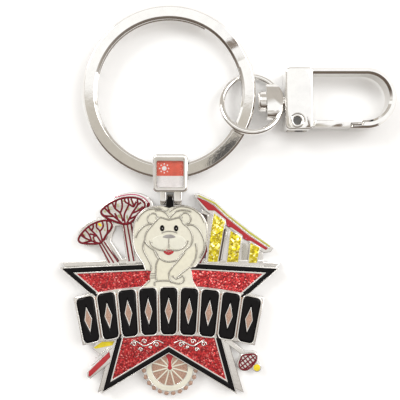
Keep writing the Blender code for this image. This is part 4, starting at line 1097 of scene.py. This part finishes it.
def wheel():
    low, top = WHEEL_LOW, WHEEL_TOP
    turns = [2 * pi * i / (SCALLOPS * 6) for i in range(SCALLOPS * 6)]
    rim = [polar(WHEEL, 4.88 + 0.3 * abs(cos(t * SCALLOPS / 2)), t) for t in turns]
    casting("wheel_plate", [rim], 0.0, top - 0.25, 0.1)
    cabins = []
    for k in range(CABINS):
        angle = (k + 0.5) * 360 / CABINS
        cabin = ellipse(polar(WHEEL, 4.9, radians(angle)), (0.42, 0.46), angle, 6)
        cabins.append(plate("cabin", [cabin], 0.6, top - 0.1, 0.12, 2))
    finish_piece(joined("wheel_cabins", cabins), COPPER, "charm", (), 50)
    inlay("wheel_ground", [circle(WHEEL, 3.6, 48)], low, top - 0.12, 0.03, 2, COPPER)
    edges, rims = [[circle(WHEEL, r, 64) for r in radii] for radii in ((4.44, 3.36), (4.4, 3.4))]
    inlay("wheel_ring", rims, low, top, 0.1, 3, CREAM, "wheel_cream")
    strokes("wheel_ring_lines", edges, 0.07, top - 0.03, CAST_NICKEL, closed=True)
    turns = [radians((k + 0.5) * 360 / SPOKES) for k in range(SPOKES)]
    spokes = [[polar(WHEEL, 0.3, t), polar(WHEEL, 3.5, t)] for t in turns]
    strokes("wheel_spokes", spokes, 0.15, top - 0.1, CREAM)
    stand = smooth([(WHEEL[0] + a, WHEEL[1] + b) for a, b in A_FRAME], True, 4)
    inlay("wheel_frame", [stand], low, top + 0.12, 0.08, 3, RED, "wheel_red")
    inlay("wheel_hub", [circle(WHEEL, 0.42, 24)], low, top + 0.14, 0.12, 3, RED)


def boat():
    low, top = WHEEL_LOW, WHEEL_TOP
    casting("boat_plate", [HULL], 0.0, top - 0.1, 0.1)
    inlay("boat_sail_fill", [SAIL], low, top, 0.07, 3, YELLOW, "boat_sail")
    inlay("boat_stripe_fill", [STRIPE], low, top, 0.07, 3, RED, "boat_stripe")
    strokes("boat_lines", MASTS, 0.1, top - 0.12, CAST_NICKEL)


def lantern():
    """A leaning lantern with five ribs along it and three across, and a ball below it."""
    low, top, outline = WHEEL_LOW, WHEEL_TOP, smooth(LANTERN, True, 4)
    casting("lantern_pole", [POLE], 0.0, top - 0.3, 0.1)
    casting("lantern_plate", [offset(outline, 0.3)], 0.0, top - 0.12, 0.12)
    inlay("lantern_fill", [outline], low, top - 0.06, 0.1, 3, CAST_NICKEL, "lantern_red")
    ribs = []
    for k in range(-2, 3):
        half = 1.25 * (1 - (k / 3.1) ** 2) ** 0.5
        ribs.append([(k * 0.62, -half), (k * 0.62, half)])
    for y in (-0.75, 0.0, 0.75):
        half = 1.7 * (1 - (y / 1.5) ** 2) ** 0.5
        ribs.append([(-half, y), (half, y)])
    ribs = [placed(line, LANTERN_CENTRE, LANTERN_LEAN) for line in ribs]
    strokes("lantern_ribs", ribs, 0.13, top - 0.04, DARK_RED)
    strokes("lantern_rim", [outline], 0.15, top - 0.05, DARK_RED, closed=True)
    casting("lantern_ball_plate", [circle(BALL, 0.85)], 0.0, top - 0.12, 0.1)
    inlay("lantern_ball_fill", [circle(BALL, 0.64)], low, top + 0.03, 0.14, 4, YELLOW, "lantern_ball")


# ---- tongue and flourish ----

KNUCKLE_X = (-6.12, -5.03)
KNUCKLE_R = 0.95
TONGUE_Z = (2.62, 2.84)
TONGUE = [
    (-5.95, 0.68), (-5.2, 0.68), (-4.98, -0.2), (-4.88, -1.08), (-4.6, -1.2), (-5.2, -1.3), (-5.7, -1.5),
    (-6.2, -1.3), (-6.75, -1.2), (-6.28, -1.08), (-6.2, -0.2),
]
STEM = [(1.0, -26.6), (2.2, -26.1), (3.4, -26.7), (4.6, -27.1), (5.6, -26.5), (6.6, -26.0)]
CURLS = ((2.3, -26.9, 0.55), (4.5, -26.3, 0.5), (6.5, -26.8, 0.55), (5.2, -27.8, 0.42), (3.4, -27.4, 0.3))


def tongue():
    """The knuckle and neck of the medallion, and the black enamel on its front."""
    eye = side_prism("knuckle", circle(HINGE, KNUCKLE_R, 36), *KNUCKLE_X)
    combine(eye, side_prism("neck", rectangle((-2.0, 0.1), (0.8, 2.6)), *KNUCKLE_X), "UNION")
    drill(eye, circle(HINGE, 0.5, 24), -7, -4, side_prism)
    bevel(eye, 0.06, 2, 50)
    eye.modifiers.new("triangles", "TRIANGULATE")
    finish_piece(apply(eye), CAST_NICKEL, "charm")
    inlay("tongue_fill", [TONGUE], *TONGUE_Z, 0.05, 3, BLACK, "tongue_enamel")


def flourish():
    """Two mirrored scrolls under the frieze."""
    paths = []
    for side in (-1, 1):
        paths.append(smooth([(FRIEZE_MIDDLE + side * x, y) for x, y in STEM]))
        for x, y, r in CURLS:
            curl = [polar((x, y), r * (1 - t / 14), t * 0.6) for t in range(13)]
            paths.append([(FRIEZE_MIDDLE + side * a, b) for a, b in curl])
    strokes("star_flourish", paths, 0.13, STAR_TOP - 0.04, CAST_NICKEL)


# ---- floor, light and camera ----
# A sky band is a share of the half turn from the near horizon over the zenith to the far one, and its
# colour. A spot of the sky is its centre on the plane one unit up, its lean, its half sizes and its colour.

SKY_BANDS = (
    (0.0, (0.20, 0.16, 0.13)), (0.19, (0.13, 0.10, 0.08)), (0.29, (0.48, 0.44, 0.40)),
    (0.39, (0.90, 0.88, 0.85)), (0.47, (0.86, 0.83, 0.79)), (0.516, (0.62, 0.58, 0.51)),
    (0.5506, (0.65, 0.61, 0.545)), (0.5598, (1.18, 1.18, 1.17)), (0.72, (1.18, 1.18, 1.17)),
    (0.77, (0.60, 0.56, 0.51)), (0.96, (0.60, 0.56, 0.51)), (1.0, (1.1, 1.1, 1.1)),
)
SIDE_SHADE = 0.4
STRAP = ((0.275, -0.015, 1.0), radians(-50), (0.08, 0.045, 1.0), (0.26, 0.21, 0.17))
STAND = ((0.0445, 0.0855, 1.0), radians(46), (0.042, 0.0125, 1.0), (0.04, 0.04, 0.045))
WINDOW = ((0.30, 0.16, 1.0), 0.0, (0.19, 0.2, 1.0), (1.16, 1.16, 1.16))
TABLE_HALF = 2.0
TABLE_TONES = ((0.3, (0.955, 0.955, 0.955)), (0.7, (0.975, 0.975, 0.975)))
CAMERA_HEIGHT = 105
VIEW_HALF_WIDTH = 37.0
VIEW_DEPTH = 102.0


def floor():
    """A pale light table: a white sheet with a faint tone, lit a little from below."""
    made, tree, shader, place = new_material("table")
    feed(tree, shader, {
        "Base Color": ramp(tree, noise(tree, place, 30, 2), TABLE_TONES),
        "Roughness": 0.6,
        "Specular IOR Level": 0.2,
        "Emission Color": (1, 1, 1, 1),
        "Emission Strength": 0.07,
    })
    mesh = bpy.data.meshes.new("table")
    corners = [(x, y, 0) for x, y in rectangle((-TABLE_HALF, TABLE_HALF), (-TABLE_HALF, TABLE_HALF))]
    mesh.from_pydata(corners, [], [(0, 1, 2, 3)])
    mesh.materials.append(made)
    table = link("table", mesh)


def sky_spot(tree, flat, colour, centre, lean, half, shade):
    """Lays a soft oval of one shade over the sky's colour."""
    moved = maths(tree, "VectorMath", "SUBTRACT", flat, centre)
    leant = node(tree, "VectorRotate", {"Vector": moved, "Angle": -lean}, rotation_type="Z_AXIS")[0]
    sized = maths(tree, "VectorMath", "DIVIDE", leant, half)
    reach = node(tree, "VectorMath", {0: sized}, operation="LENGTH")["Value"]
    inputs = {"From Min": 0.75, "From Max": 1.15, "Value": reach}
    fade = node(tree, "MapRange", inputs, interpolation_type="SMOOTHSTEP")["Result"]
    return node(tree, "Mix", {"Factor": fade, 6: (*shade, 1), 7: colour}, data_type="RGBA")[2]


def sky():
    """Studio surroundings in bands: dark low on the near side, bright past the zenith, then grey.

    Each band lies further back towards the sides. A pale window and two dark shapes, a strap and a
    stand, hang to the right of the zenith.
    """
    world = bpy.data.worlds.new("studio")
    bpy.context.scene.world = world
    world.use_nodes = True
    tree = world.node_tree
    way = node(tree, "TexCoord", {})["Generated"]
    parts = node(tree, "SeparateXYZ", {0: way})
    height = maths(tree, "Math", "MAXIMUM", parts["Z"], 0.02)
    flat = maths(tree, "VectorMath", "DIVIDE", way, node(tree, "CombineXYZ", dict.fromkeys("XYZ", height))[0])
    squared = maths(tree, "Math", "MULTIPLY", parts["X"], parts["X"])
    lowered = maths(tree, "Math", "MULTIPLY_ADD", squared, -SIDE_SHADE, parts["Y"])
    tilt = maths(tree, "Math", "ARCTAN2", lowered, height)
    share = node(tree, "MapRange", {"From Min": -pi / 2, "From Max": pi / 2, "Value": tilt})["Result"]
    colour = ramp(tree, share, SKY_BANDS)
    for spot in (WINDOW, STRAP, STAND):
        colour = sky_spot(tree, flat, colour, *spot)
    feed(tree, tree.nodes["Background"], {"Color": colour, "Strength": 1.0})


def lamp(name, place, size, energy):
    """A rectangular lamp, in metres, that faces the frame's centre."""
    light = bpy.data.lights.new(name, "AREA")
    light.shape = "RECTANGLE"
    light.size, light.size_y = size
    light.energy = energy
    made = link(name, light)
    made.location = place
    made.rotation_euler = (-made.location).to_track_quat("-Z", "Y").to_euler()


def camera():
    """Straight above the drawing's centre, close enough to show the side walls."""
    lens = bpy.data.cameras.new("camera")
    lens.sensor_fit = "HORIZONTAL"
    lens.angle = 2 * atan2(VIEW_HALF_WIDTH, VIEW_DEPTH)
    lens.clip_start = 0.005
    eye = link("camera", lens)
    eye.location = world_point(0, 0, CAMERA_HEIGHT)
    bpy.context.scene.camera = eye
    bpy.context.scene.view_settings.view_transform = "Standard"


BUILDERS = (
    split_ring, swivel_ring, swivel_rivet, hook, gate, gate_rivet, bail_housing, bail_label, label_dome, star,
    frieze, lion, trees, building, wheel, boat, lantern, tongue, flourish,
)
for build in BUILDERS:
    build()
for name in ("gate_spring", "bail_hinge_pin"):
    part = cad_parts[name]
    part.data.materials.clear()
    part.data.materials.append(STEEL)
floor()
sky()
lamp("softbox", (-0.55, 0.50, 0.60), (0.36, 0.30), 2.4)
lamp("fill", (0.62, 0.25, 0.68), (0.7, 0.6), 3.6)
camera()
